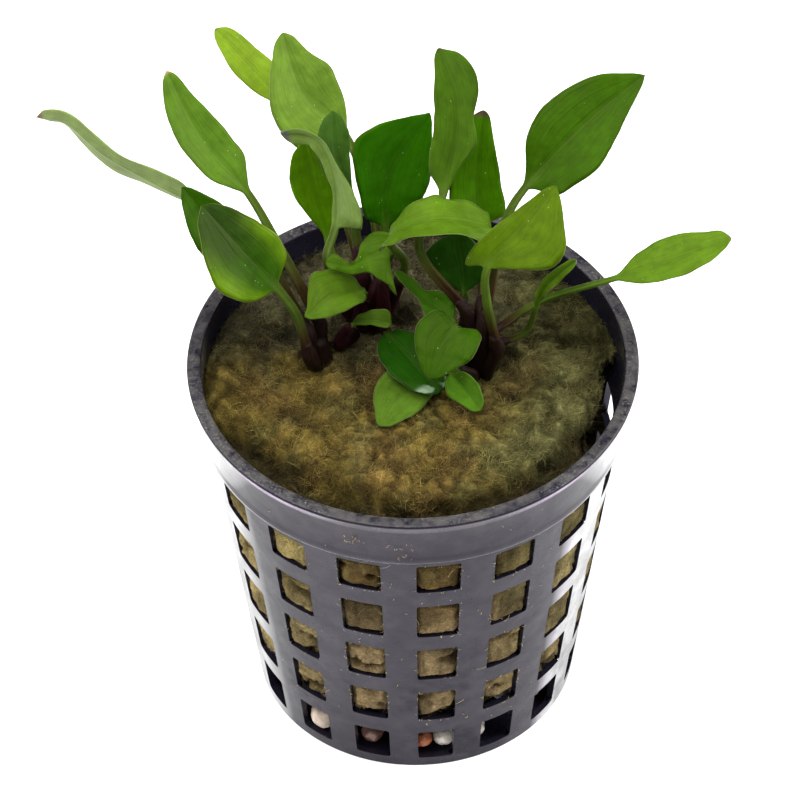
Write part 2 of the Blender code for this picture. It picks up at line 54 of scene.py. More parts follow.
# Net pot
POT_HEIGHT = 51.0
LIP_RADIUS = 27.0
LIP_WIDTH = 1.7
LIP_THICKNESS = 1.5
LIP_OVERHANG = 0.7
LIP_ROUND = 0.3
LIP_INNER_ROUND = 0.4
COLLAR_BOTTOM = 42.9
COLLAR_STEP = 0.7
COLLAR_ROUND = 0.42
FOOT_RADIUS = 19.3
SHOULDER_RADIUS = 24.95
WALL = 0.8
FLOOR = 1.2
COLUMNS = 16
FIRST_COLUMN = math.radians(-83.6)
WINDOW_ANGLE = math.radians(12.5)
WINDOW_ROWS = ((1.6, 7.0), (9.7, 15.5), (18.3, 24.5), (27.2, 33.5), (36.4, 41.7))
SLOT_RADII = (15.0, 8.0)
WINDOW_PARTS, BAR_PARTS = 5, 4
WINDOW_CORNER = 0.45
EDGE_BEVEL = 0.16
SHARP_DEGREES = 38.0

# Mineral wool
WOOL_BOTTOM = 8.6
WOOL_TOP = 47.9
WOOL_EDGE_DROP = 1.0
SEAM_Y = 6.6
SEAM_WAVE = 0.7
SEAM_GAP = 0.15
WALL_GAP = 0.1
WOOL_FLANK = 20.0
SIDE_ROWS = 96
ARC_POINTS, SEAM_POINTS = 210, 100
HIGHEST_WOOL = POT_HEIGHT - 0.1
RIM_SINK = 2.2

# Loose fibres
FIBRE_HALF_WIDTH = 0.014
FIBRE_LENGTHS = (0.5, 1.5)
FIBRE_STEPS = 4
BIT_STEPS = 5

# Crowns: x, y, radius and height
CROWN_FOOT = WOOL_TOP + 0.45
LEFT_CROWN = (-11.3, 3.6, 1.7, 3.2)
MIDDLE_CROWN = (-5.5, 9.8, 1.9, 4.2)
RIGHT_CROWN = (7.4, 1.2, 1.4, 6.4)

# Leaves
STALK_RINGS = 22
BLADE_RINGS = 60
TIP_RINGS = 8
ACROSS = 17
STALK_FOOT_RADIUS = 0.68
STALK_TOP_RADIUS = 0.48
BLADE_THICKNESS = 0.24
MARGIN_THICKNESS = 0.10
WIDTH_SHARES = (0.0, 0.10, 0.22, 0.36, 0.50, 0.65, 0.80, 0.92, 1.0)
TIP_FROM, TIP_LENGTH = 0.94, 0.06
SIDE_VEINS = (0.36, 0.68)
LEAF_TINT = 0.62
FIRST_LEAF_SEED = 2

# Camera: the photograph's scale and size, and where the pot's axis falls from its middle, in its pixels
CAMERA_RISE, CAMERA_LEAN = math.radians(46.31), math.radians(-0.78)
CAMERA_DISTANCE = 1000.0
PIXELS_PER_MM = 8.228
PHOTO_PIXELS = 800.0
AXIS_RIGHT, AXIS_DOWN = 14.6, 109.9
AIM_HEIGHT = 25.0


def smooth_step(low, high, value):
    """0 below low, 1 above high, and a smooth rise between; for numbers and arrays."""
    share = np.clip((value - low) / (high - low), 0.0, 1.0)
    return share * share * (3.0 - 2.0 * share)


def mix(a, b, share):
    """a at share 0 and b at share 1."""
    return a + (b - a) * share


def linear(red, green, blue):
    """A colour given as 0 to 255 on the screen, as the linear values that a shader uses."""
    return np.array([(c / 255.0 / 12.92) if c <= 10 else ((c / 255.0 + 0.055) / 1.055) ** 2.4
                     for c in (red, green, blue)])


def leaf_green(red, green, blue):
    """A screen colour of leaf tissue, darkened to what the lights make of it."""
    return linear(red, green, blue) * LEAF_TINT


def lumps(points, scale, seed, octaves=3):
    """Fractal noise at points in millimetres, whose largest lumps are about scale across."""
    shift = Vector((seed * 7.13, seed * 3.71, seed * 5.37))
    return np.array([noise.fractal(Vector(p) / scale + shift, 0.9, 2.0, octaves) for p in points])


def polar(radius, angle, *z):
    """The place at an angle round the pot's axis, and at the height z if it is given."""
    return (radius * math.cos(angle), radius * math.sin(angle), *z)


def skin_faces(rings, count):
    """The faces over stacked rings of count points each, with a cap at either end."""
    faces = [tuple(reversed(range(count)))]
    for low in range(0, (rings - 1) * count, count):
        for i in range(count):
            after = (i + 1) % count
            faces.append((low + i, low + after, low + count + after, low + count + i))
    faces.append(tuple((rings - 1) * count + i for i in range(count)))
    return faces


def add_piece(name, points, faces, finish, node_names, layers=None, sharp_degrees=None):
    """A mesh piece from points in millimetres, with one value or colour per point in each layer."""
    mesh = bpy.data.meshes.new(name)
    mesh.from_pydata(np.asarray(points, float) * MM, [], [tuple(int(i) for i in f) for f in faces])
    mesh.shade_smooth()
    if sharp_degrees:
        mesh.set_sharp_from_angle(angle=math.radians(sharp_degrees))
    for key, values in (layers or {}).items():
        values = np.asarray(values, float)
        if values.ndim == 1:
            layer = mesh.attributes.new(key, "FLOAT", "POINT")
            layer.data.foreach_set("value", values.astype(np.float32))
        else:
            layer = mesh.attributes.new(key, "FLOAT_COLOR", "POINT")
            full = np.concatenate([values, np.ones((len(values), 1))], axis=1)
            layer.data.foreach_set("color", full.astype(np.float32).ravel())
    mesh.materials.append(finish)
    piece = bpy.data.objects.new(name, mesh)
    bpy.context.scene.collection.objects.link(piece)
    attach(piece, "root")
    if node_names:
        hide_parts(*node_names)
    return piece


class Nodes:
    """A short way to write a material's node tree."""

    def __init__(self, name):
        self.material = bpy.data.materials.new(name)
        self.material.use_nodes = True
        self.tree = self.material.node_tree
        self.shader = self.tree.nodes["Principled BSDF"]
        self.place = self.tree.nodes.new("ShaderNodeTexCoord").outputs["Object"]

    def add(self, kind, **inputs):
        """A new node, with its inputs set or linked by their names."""
        node = self.tree.nodes.new("ShaderNode" + kind)
        self.fill(node, inputs.items())
        return node

    def fill(self, node, inputs):
        """Links outputs to a node's inputs, or sets them to numbers or colours."""
        for key, value in inputs:
            socket = node.inputs[key.replace("_", " ") if isinstance(key, str) else key]
            if isinstance(value, bpy.types.NodeSocket):
                self.tree.links.new(value, socket)
            elif isinstance(value, (tuple, list, np.ndarray)):
                value = tuple(float(c) for c in value)
                socket.default_value = (*value[:3], 1.0) if socket.type == "RGBA" else value
            else:
                socket.default_value = value

    def attribute(self, key, kind="Fac"):
        node = self.add("Attribute")
        node.attribute_name = key
        return node.outputs[kind]

    def noise(self, scale, detail=3.0, rough=0.55, place=None, distortion=0.0):
        node = self.add("TexNoise", Vector=place or self.place, Scale=scale, Detail=detail, Roughness=rough,
                        Distortion=distortion)
        return node.outputs["Fac"]

    def patches(self, scale, detail, rough, low, high, *reach):
        """Noise with its values from low to high spread over 0 to 1, or over the reach given."""
        return self.ramp(self.noise(scale, detail, rough), low, high, *reach)

    def spots(self, scale, low, high):
        """1 closer than high to the middle of each random cell, and 0 further than low from it."""
        cells = self.add("TexVoronoi", Vector=self.place, Scale=scale)
        return self.ramp(cells.outputs["Distance"], low, high)

    def math(self, kind, a, b=0.0, clamp=False):
        node = self.add("Math")
        node.operation = kind
        node.use_clamp = clamp
        self.fill(node, ((0, a), (1, b)))
        return node.outputs[0]

    def times(self, *values):
        return functools.reduce(functools.partial(self.math, "MULTIPLY"), values)

    def plus(self, a, b, clamp=False):
        return self.math("ADD", a, b, clamp)

    def minus(self, a, b):
        return self.math("SUBTRACT", a, b)

    def size(self, value):
        return self.math("ABSOLUTE", value)

    def dimmed(self, light, where, amount):
        """The light, less by amount where the second value is 1."""
        return self.times(light, self.minus(1.0, self.times(where, amount)))

    def ramp(self, value, low, high, to_low=0.0, to_high=1.0):
        node = self.add("MapRange")
        node.interpolation_type = "SMOOTHSTEP"
        self.fill(node, (("Value", value), ("From Min", low), ("From Max", high), ("To Min", to_low),
                         ("To Max", to_high)))
        return node.outputs["Result"]

    def blend(self, share, a, b):
        node = self.add("Mix")
        node.data_type = "RGBA"
        self.fill(node, ((0, share), (6, a), (7, b)))
        return node.outputs[2]

    def stained(self, colour, where, amount, stain):
        """The colour, mixed with a stain by amount where the value is 1."""
        return self.blend(self.times(where, amount), colour, stain)

    def brighten(self, colour, factor):
        """The colour times a number."""
        node = self.add("VectorMath")
        node.operation = "SCALE"
        self.fill(node, ((0, colour), ("Scale", factor)))
        return node.outputs[0]

    def stretched(self, x, y, z):
        """The place, scaled along each axis."""
        return self.add("Mapping", Vector=self.place, Scale=(x, y, z)).outputs[0]

    def parts(self, vector):
        return self.add("SeparateXYZ", Vector=vector).outputs

    def bump(self, height, distance, strength=1.0, onto=None):
        node = self.add("Bump", Strength=strength, Distance=distance, Height=height)
        if onto is not None:
            self.tree.links.new(onto, node.inputs["Normal"])
        return node.outputs[0]

    def finish(self, **inputs):
        self.fill(self.shader, inputs.items())
        return self.material


def pot_material():
    """Near-black glossy plastic: scuffed, damp in soft patches, with an algae film and specks on its lip."""
    n = Nodes("pot_moulded_plastic")
    x, _, z = n.parts(n.place)
    across, _, up = n.parts(n.add("NewGeometry").outputs["Normal"])
    cloud = n.noise(180.0, 4.0)
    colour = n.blend(cloud, linear(17, 16, 24), linear(27, 25, 36))
    on_lip = n.times(n.ramp(z, 0.0503, 0.0509), n.ramp(up, 0.5, 0.9))
    film = n.times(on_lip, n.patches(620.0, 6.0, 0.75, 0.34, 0.66))
    colour = n.stained(colour, film, 0.75, linear(72, 70, 66))
    specks = n.times(on_lip, n.patches(150.0, 3.0, 0.55, 0.30, 0.58), n.patches(3000.0, 3.0, 0.8, 0.57, 0.66))
    colour = n.stained(colour, specks, 0.45, linear(150, 152, 140))
    marks = n.times(n.spots(640.0, 0.07, 0.03), n.patches(240.0, 2.0, 0.55, 0.54, 0.6))
    colour = n.stained(colour, marks, 0.5, linear(190, 184, 168))
    scratch = n.ramp(n.noise(9.0, 6.0, 0.75, place=n.stretched(60.0, 60.0, 900.0)), 0.62, 0.72)
    colour = n.stained(colour, scratch, 0.08, linear(120, 114, 130))
    damp = n.times(n.patches(150.0, 3.0, 0.6, 0.52, 0.66), n.ramp(z, 0.036, 0.010))
    smear = n.patches(340.0, 4.0, 0.6, 0.40, 0.66)
    shine = n.minus(n.plus(0.44, n.times(smear, 0.12)), n.times(damp, 0.20))
    rough = n.plus(n.ramp(cloud, 0.3, 0.7, 0.20, 0.30), n.times(film, 0.35))
    rough = n.plus(rough, n.times(scratch, 0.10), clamp=True)
    # Near its rim the wall mirrors the bright ground: the index rises there, sooner at the right, and a
    # little later on the collar's right.
    late = n.times(n.ramp(z, 0.0420, 0.0430), n.ramp(x, -0.004, 0.006, 0.0, 0.05))
    turn_start = n.plus(n.ramp(x, -0.006, 0.006, 0.69, 0.645), late)
    turn_end = n.plus(n.ramp(x, -0.006, 0.006, 0.82, 0.71), n.times(late, 2.6))
    facing = n.add("LayerWeight", Blend=0.5).outputs["Facing"]
    index = n.ramp(facing, turn_start, turn_end, 1.32, 7.0)
    gloss = n.blend(n.ramp(n.size(across), 0.66, 0.84), (0.94, 0.82, 1.0), (1.0, 1.0, 1.0))
    grain = n.bump(n.noise(2600.0, 2.0), 0.00003, 0.3)
    normal = n.bump(n.noise(160.0, 2.0), 0.0004, 0.35, onto=grain)
    return n.finish(Base_Color=colour, Roughness=rough, IOR=index, Normal=normal, Specular_IOR_Level=shine,
                    Specular_Tint=gloss)


def wool_material(name):
    """Mineral wool: its tint is in the mesh, with fine streaks and painted shade in its pores."""
    n = Nodes(name)
    fine = n.noise(4200.0, 6.0, 0.72, distortion=0.8)
    streak = n.noise(1300.0, 7.0, 0.75, distortion=2.0)
    # Painted shade: the fine noise darkens the tint where it also sinks the bump, in the pores.
    light = n.times(n.ramp(fine, 0.30, 0.70, 0.60, 1.40), n.ramp(streak, 0.34, 0.66, 0.70, 1.30))
    height = n.plus(n.times(fine, 0.6), streak)
    return n.finish(Base_Color=n.brighten(n.attribute("tint", "Color"), light), Roughness=0.95,
                    Normal=n.bump(height, 0.0003, 0.9), Specular_IOR_Level=0.05)


def fibre_material():
    """Loose fibres, each with its own tint."""
    n = Nodes("wool_fibre")
    light = n.patches(900.0, 2.0, 0.55, 0.3, 0.7, 0.75, 1.25)
    return n.finish(Base_Color=n.brighten(n.attribute("tint", "Color"), light), Roughness=0.8,
                    Specular_IOR_Level=0.08)


def leaf_material():
    """Leaf skin: tinted by the mesh, with faint veins along the blade, mottling, specks and a thin margin."""
    n = Nodes("leaf_skin")
    across, along = n.attribute("across"), n.attribute("along")
    side = n.size(across)
    on_blade = n.ramp(along, 0.02, 0.12)
    waver = n.times(n.minus(n.noise(230.0, 3.0), 0.5), 0.16)
    lane = n.math("FRACT", n.times(n.plus(side, waver), 3.0))
    vein = n.times(n.ramp(n.size(n.minus(lane, 0.5)), 0.10, 0.0), on_blade)
    mottle = n.noise(620.0, 5.0, 0.62)
    broad = n.noise(110.0, 3.0)
    on_leaf = n.add("CombineXYZ", X=n.times(across, 13.0), Y=n.times(along, 4.0)).outputs[0]
    streak = n.noise(1.0, 4.0, 0.6, place=on_leaf)
    light = n.times(n.ramp(mottle, 0.3, 0.7, 0.87, 1.13), n.ramp(broad, 0.3, 0.7, 0.91, 1.10),
                    n.ramp(streak, 0.3, 0.7, 0.90, 1.10))
    light = n.dimmed(light, n.patches(330.0, 4.0, 0.6, 0.50, 0.62), 0.09)
    light = n.dimmed(light, vein, 0.07)
    # Painted shade: the blade is darker on either side of the midrib, in its channel.
    beside_rib = n.times(n.ramp(side, 0.10, 0.04), on_blade)
    colour = n.brighten(n.attribute("tint", "Color"), n.dimmed(light, beside_rib, 0.12))
    rib = n.times(n.ramp(side, 0.035, 0.01), on_blade)
    colour = n.stained(colour, rib, 0.08, leaf_green(110, 140, 60))
    edge = n.times(n.ramp(side, 0.968, 0.99), on_blade)
    colour = n.stained(colour, edge, 0.8, n.attribute("edge_tint", "Color"))
    specks = n.times(n.spots(1300.0, 0.11, 0.05), n.patches(420.0, 2.0, 0.55, 0.54, 0.60), on_blade)
    colour = n.stained(colour, specks, 0.55, linear(180, 196, 150))
    height = n.minus(n.times(mottle, 0.5), n.times(vein, 0.18))
    height = n.plus(n.plus(height, n.times(specks, 0.5)), n.times(broad, 0.8))
    return n.finish(Base_Color=colour, Roughness=n.ramp(mottle, 0.3, 0.7, 0.34, 0.48),
                    Normal=n.bump(height, 0.00014, 0.7), Specular_IOR_Level=0.07,
                    Specular_Tint=(1.0, 1.0, 0.35))


def crown_material():
    """Rootstock skin: dark red-brown, with fine upright fibres."""
    n = Nodes("crown_sheath")
    streak = n.noise(16.0, 6.0, 0.7, place=n.stretched(260.0, 260.0, 40.0))
    colour = n.brighten(n.attribute("tint", "Color"), n.ramp(streak, 0.3, 0.7, 0.55, 1.5))
    return n.finish(Base_Color=colour, Roughness=n.ramp(streak, 0.3, 0.7, 0.38, 0.6),
                    Normal=n.bump(streak, 0.0002, 0.8), Specular_IOR_Level=0.12)


def pebble_material():
    """Water-worn stone: a tint in the mesh, mottled, with dark grains and a few pale ones."""
    n = Nodes("pebble_mottled")
    cloud = n.noise(420.0, 5.0, 0.6)
    colour = n.brighten(n.attribute("tint", "Color"), n.ramp(cloud, 0.3, 0.7, 0.72, 1.25))
    dark = n.times(n.spots(1900.0, 0.22, 0.12), n.patches(700.0, 3.0, 0.55, 0.45, 0.6, 0.0, 0.5))
    colour = n.blend(dark, colour, linear(70, 52, 38))
    colour = n.stained(colour, n.spots(1300.0, 0.14, 0.08), 0.5, linear(225, 215, 195))
    return n.finish(Base_Color=colour, Roughness=n.ramp(cloud, 0.3, 0.7, 0.35, 0.6),
                    Normal=n.bump(n.noise(1500.0, 4.0), 0.0001, 0.6))


def wall_radius(z):
    """The outer radius of the tapered wall at height z."""
    return FOOT_RADIUS + (SHOULDER_RADIUS - FOOT_RADIUS) * z / COLLAR_BOTTOM


def arc(centre_radius, centre_z, radius, start, end, count):
    """Profile points of a rounded edge, from one angle to another in degrees."""
    angles = [math.radians(start + (end - start) * i / (count - 1)) for i in range(count)]
    return [(centre_radius + radius * math.cos(a), centre_z + radius * math.sin(a)) for a in angles]


def rim_profile():
    """Radius and height along the collar and the lip: up the outside, over the top and down the inside."""
    lip_bottom = POT_HEIGHT - LIP_THICKNESS
    lip_inner = LIP_RADIUS - LIP_WIDTH
    collar = SHOULDER_RADIUS + COLLAR_STEP
    under_lip = LIP_RADIUS - LIP_OVERHANG
    return [(SHOULDER_RADIUS, COLLAR_BOTTOM),
            *arc(collar - COLLAR_ROUND, COLLAR_BOTTOM + COLLAR_ROUND, COLLAR_ROUND, -90.0, 0.0, 5),
            (collar + 0.07, COLLAR_BOTTOM + 0.8), (collar + 0.05, COLLAR_BOTTOM + 1.2),
            (collar + 0.10, COLLAR_BOTTOM + 1.8), (under_lip - 0.08, lip_bottom - 0.5),
            (under_lip + 0.02, lip_bottom - 0.15),
            *arc(LIP_RADIUS - LIP_ROUND, POT_HEIGHT - LIP_ROUND, LIP_ROUND, -28.0, 90.0, 8),
            *arc(lip_inner + LIP_INNER_ROUND, POT_HEIGHT - LIP_INNER_ROUND, LIP_INNER_ROUND, 90.0, 180.0, 5),
            (collar - WALL, COLLAR_BOTTOM)]


def build_pot(finish):
    """The pot as a fine grid of rings, open at its windows and slots, with rounded edges."""
    lines, is_window = [], []
    bar_angle = math.tau / COLUMNS - WINDOW_ANGLE
    for column in range(COLUMNS):
        start = FIRST_COLUMN + column * math.tau / COLUMNS - WINDOW_ANGLE / 2
        lines += [start + WINDOW_ANGLE * i / WINDOW_PARTS for i in range(WINDOW_PARTS)]
        lines += [start + WINDOW_ANGLE + bar_angle * i / BAR_PARTS for i in range(BAR_PARTS)]
        is_window += [True] * WINDOW_PARTS + [False] * BAR_PARTS
    count, pitch = len(lines), WINDOW_PARTS + BAR_PARTS
    shape = bmesh.new()
    corners = []

    def ring(radius, z):
        return [shape.verts.new(polar(radius, a, z)) for a in lines]

    def band(low, high, is_open=False):
        for i in range(count):
            if not (is_open and is_window[i]):
                after = (i + 1) % count
                shape.faces.new((low[i], low[after], high[after], high[i]))

    def edge_openings(outer_low, outer_high, inner_low, inner_high):
        for i in range(count):
            after = (i + 1) % count
            if is_window[i]:
                shape.faces.new((outer_low[i], inner_low[i], inner_low[after], outer_low[after]))
                shape.faces.new((outer_high[i], outer_high[after], inner_high[after], inner_high[i]))
            if i % pitch in (0, WINDOW_PARTS):
                shape.faces.new((outer_low[i], outer_high[i], inner_high[i], inner_low[i]))
                corners.append((outer_low[i], inner_low[i]))
                corners.append((outer_high[i], inner_high[i]))

    heights = [z for row in WINDOW_ROWS for z in row]
    outer = [ring(wall_radius(z), z) for z in heights]
    inner = [ring(wall_radius(z) - WALL, z) for z in heights]
    for i in range(len(heights) - 1):
        in_window = i % 2 == 0
        band(outer[i], outer[i + 1], in_window)
        band(inner[i], inner[i + 1], in_window)
        if in_window:
            edge_openings(outer[i], outer[i + 1], inner[i], inner[i + 1])

    previous = outer[-1]
    for radius, z in rim_profile():
        following = ring(radius, z)
        band(previous, following)
        previous = following
    band(previous, inner[-1])

    foot = ring(FOOT_RADIUS, 0.0)
    floor_edge = ring(wall_radius(FLOOR) - WALL, FLOOR)
    band(outer[0], foot)
    band(inner[0], floor_edge)
    below = [ring(radius, 0.0) for radius in SLOT_RADII]
    above = [ring(radius, FLOOR) for radius in SLOT_RADII]
    band(foot, below[0])
    band(floor_edge, above[0])
    band(*below, True)
    band(*above, True)
    edge_openings(*below, *above)
    for last, z in ((below[1], 0.0), (above[1], FLOOR)):
        centre = shape.verts.new((0.0, 0.0, z))
        for i in range(count):
            shape.faces.new((last[i], last[(i + 1) % count], centre))

    turned = [shape.edges.get(pair) for pair in corners]
    bmesh.ops.bevel(shape, geom=turned, offset=WINDOW_CORNER, segments=3, profile=0.5, affect="EDGES",
                    clamp_overlap=True)
    bmesh.ops.recalc_face_normals(shape, faces=shape.faces)
    shape.verts.index_update()
    points = [v.co.copy() for v in shape.verts]
    faces = [[v.index for v in f.verts] for f in shape.faces]
    shape.free()
    piece = add_piece("moulded_pot", points, faces, finish, ["net_pot"],
                      sharp_degrees=SHARP_DEGREES)
    soft = piece.modifiers.new("edges", "BEVEL")
    soft.width = EDGE_BEVEL * MM
    soft.segments = 2
    soft.limit_method = "ANGLE"
    soft.angle_limit = math.radians(SHARP_DEGREES)
    soft.harden_normals = True


def inner_radius(z):
    """The radius of the space inside the pot at height z."""
    low = SHOULDER_RADIUS + COLLAR_STEP - WALL
    share = (z - COLLAR_BOTTOM) / (POT_HEIGHT - COLLAR_BOTTOM)
    above = low + (LIP_RADIUS - LIP_WIDTH - low) * share
    return wall_radius(z) - WALL if z <= COLLAR_BOTTOM else above


def inner_radii(points):
    """The radius of the space inside the pot at each point's height."""
    return np.array([inner_radius(min(z, HIGHEST_WOOL)) for z in points[:, 2]])


def wool_radius(angle, z):
    """The wool's outline: close to the wall, but cut back along a slanting flank at its right."""
    radius = inner_radius(z) - WALL_GAP
    if math.cos(angle) < 0.5:
        return radius
    along = 22.0 * math.sin(angle) - 0.955 * (WOOL_TOP - z)
    flank = WOOL_FLANK + 2.3 * smooth_step(-11.0, -1.0, along)
    beyond = smooth_step(-11.5, -16.0, along) + smooth_step(1.5, 6.0, along) + smooth_step(30.0, 25.0, z)
    flank += 6.0 * beyond
    return min(radius, flank / math.cos(angle))


def window_bulge(points):
    """How far the wool swells into the windows: 0 behind the wall and at a window's edges, 1 inside it."""
    pitch = math.tau / COLUMNS
    radius = np.hypot(points[:, 0], points[:, 1])
    angle = np.arctan2(points[:, 1], points[:, 0]) - FIRST_COLUMN
    aside = np.abs((angle + pitch / 2) % pitch - pitch / 2)
    room = (WINDOW_ANGLE / 2 - aside) * radius
    tall = np.full(len(points), -1.0)
    for low, high in WINDOW_ROWS:
        tall = np.maximum(tall, np.minimum(points[:, 2] - low, high - points[:, 2]))
    return smooth_step(-0.1, 0.55, np.minimum(room, tall))


def seam_y(x):
    """The line where the two slabs meet."""
    return SEAM_Y + SEAM_WAVE * np.sin(x / 7.0)


def seam_angle(z, side, start):
    """The angle, near start, at which a slab's outline meets the seam."""
    angle = start
    for _ in range(8):
        radius = wool_radius(angle, z)
        lean = math.asin(min((seam_y(radius * math.cos(angle)) + side * SEAM_GAP) / radius, 1.0))
        angle = lean if start == 0.0 else math.pi - lean
    return angle


# Hollows in the wool's top: x, y, radius and depth.
HOLLOWS = (
    (-19.9, -12.7, 1.7, 1.6), (-5.0, -12.7, 1.0, 0.9), (9.6, 3.6, 2.2, 1.5), (-1.6, 11.2, 2.3, 1.8),
    (-9.0, -20.2, 1.9, 1.0), (-5.5, -20.6, 1.9, 1.2), (-2.6, -21.0, 1.5, 1.1), (14.0, 6.0, 1.3, 1.0),
    (18.0, 6.2, 1.3, 1.0), (21.5, 6.0, 1.2, 0.9), (-15.2, 8.0, 1.6, 1.0), (1.2, 5.5, 2.0, 0.9),
    (4.0, 8.0, 1.8, 1.0), (-20.8, -3.5, 1.0, 0.8), (12.5, -14.5, 1.2, 0.5), (11.0, 4.4, 2.2, 1.3),
    (19.0, 4.0, 3.0, 0.5), (13.5, -4.5, 1.3, 0.9), (16.0, -6.0, 1.2, 0.7), (20.2, -9.5, 2.0, 1.3),
    (-21.5, -9.0, 1.5, 1.4), (-12.5, -19.0, 1.8, 1.4), (0.5, -9.0, 0.8, 0.7), (11.5, -2.5, 1.6, 0.8),
)

TAN = linear(116, 99, 45)
STRAW = linear(160, 142, 86)
UMBER = linear(50, 36, 18)
OLIVE = linear(78, 78, 44)
SAGE = linear(106, 104, 62)
SLATE = linear(88, 84, 62)
RUST = linear(118, 90, 52)
MOSS = linear(88, 88, 50)
PALE_TAN = linear(124, 106, 76)
BROWN = linear(66, 52, 34)
LICHEN = linear(108, 98, 62)


def front_rim(points):
    """1 in the shaded strip of the wool's top beside the front and left wall, and 0 away from it."""
    radius = np.hypot(points[:, 0], points[:, 1])
    ahead = smooth_step(-5.5, -9.5, points[:, 1])
    uneven = 1.3 * lumps(points, 4.0, 31, 2)
    high = smooth_step(WOOL_TOP - 5.6, WOOL_TOP - 4.6, points[:, 2])
    forward = np.clip(-points[:, 1] / (radius + 1e-6), 0.0, 1.0)
    return smooth_step(20.6, 22.2, radius + 2.2 * forward + uneven) * ahead * high


def hollow_depth(points):
    """How deep the hollows are at points on the wool's top."""
    depth = np.zeros(len(points))
    for x, y, radius, deepest in HOLLOWS:
        away = np.hypot(points[:, 0] - x, points[:, 1] - y) / radius
        depth = np.maximum(depth, deepest * np.exp(-away ** 2))
    return depth


def wool_tint(points):
    """Tan at the front and left, sage at the right, olive and slate at the back, and browner low down."""
    x, y, z = points.T
    broad = lumps(points, 7.0, 3, 3)
    right = smooth_step(4.0, 17.0, x + 4.0 * broad)[:, None]
    behind = smooth_step(1.0, 9.0, y + 4.0 * broad)[:, None]
    colour = mix(mix(TAN, SAGE, right), mix(SLATE, OLIVE, right), behind)
    near_middle = 0.25 * smooth_step(8.0, 0.0, np.abs(x - 6.0))
    rust = smooth_step(0.0, 0.5, lumps(points, 6.5, 17, 3) + near_middle - 0.1)
    colour = mix(colour, RUST, (rust * 0.40)[:, None] * (1.0 - behind))
    moss = smooth_step(0.0, 0.45, lumps(points, 4.5, 23, 3))
    colour = mix(colour, MOSS, (moss * 0.45)[:, None])
    patch = smooth_step(0.10, 0.55, lumps(points, 3.4, 9, 3))[:, None]
    colour = mix(colour, colour * 0.5 + UMBER * 0.3, patch * 0.8)
    # Painted shade: the tint is darker in the hollows and in the shaded strip beside the front wall.
    sunk = smooth_step(0.25, 1.1, hollow_depth(points)) * smooth_step(44.0, 45.0, z)
    colour = colour * ((1.0 - 0.90 * front_rim(points)) * (1.0 - 0.85 * sunk))[:, None]
    low = smooth_step(36.5, 25.0, z)[:, None]
    side = smooth_step(WOOL_TOP - 2.0, WOOL_TOP - 4.0, z)[:, None]
    colour = mix(mix(colour, BROWN, side * 0.7), PALE_TAN, low * 0.85)
    green_side = smooth_step(7.0, 14.0, np.abs(x) + 2.0 * broad)[:, None] * side
    return mix(colour, LICHEN, green_side * 0.55)


def tufts(points, scale, seed):
    """0 in the creases between tufts of about this scale, and 1 on the tufts' backs."""
    shift = Vector((seed * 3.3, seed * 5.1, seed * 1.7))
    out = []
    for p in points:
        place = Vector(p) / scale + shift
        place += noise.noise_vector(place * 1.3) * 0.45 + noise.noise_vector(place * 4.0) * 0.12
        near = noise.voronoi(place)[0]
        out.append(near[1] - near[0])
    return smooth_step(0.0, 0.40, np.array(out))


def wool_rows(side):
    """Rings of points over a slab's plain outline: up its side, over its edge and in to its top's middle."""

    def outline(z):
        right, left = seam_angle(z, side, 0.0), seam_angle(z, side, math.pi)
        low, high = (left, math.tau + right) if side < 0 else (right, left)
        angles = [low + (high - low) * i / (ARC_POINTS - 1) for i in range(ARC_POINTS)]
        points = [polar(wool_radius(angle, z), angle) for angle in angles]
        first, last = points[-1], points[0]
        for i in range(1, SEAM_POINTS + 1):
            x = first[0] + (last[0] - first[0]) * i / (SEAM_POINTS + 1)
            points.append((x, seam_y(x) + side * SEAM_GAP))
        return np.array(points)

    def raised(flat, z):
        return np.column_stack([flat, np.full(len(flat), z)])

    top_z = WOOL_TOP - WOOL_EDGE_DROP
    rows = [raised(outline(z), z) for z in np.linspace(WOOL_BOTTOM, top_z, SIDE_ROWS)]
    edge = outline(top_z)
    middle = edge.mean(axis=0)
    for inset in np.concatenate([np.linspace(0.008, 0.10, 10), np.linspace(0.115, 0.985, 62)]):
        drop = WOOL_EDGE_DROP * (1.0 - smooth_step(0.0, 0.09, inset)) ** 2
        rows.append(raised(middle + (edge - middle) * (1.0 - inset), WOOL_TOP - drop))
    return rows


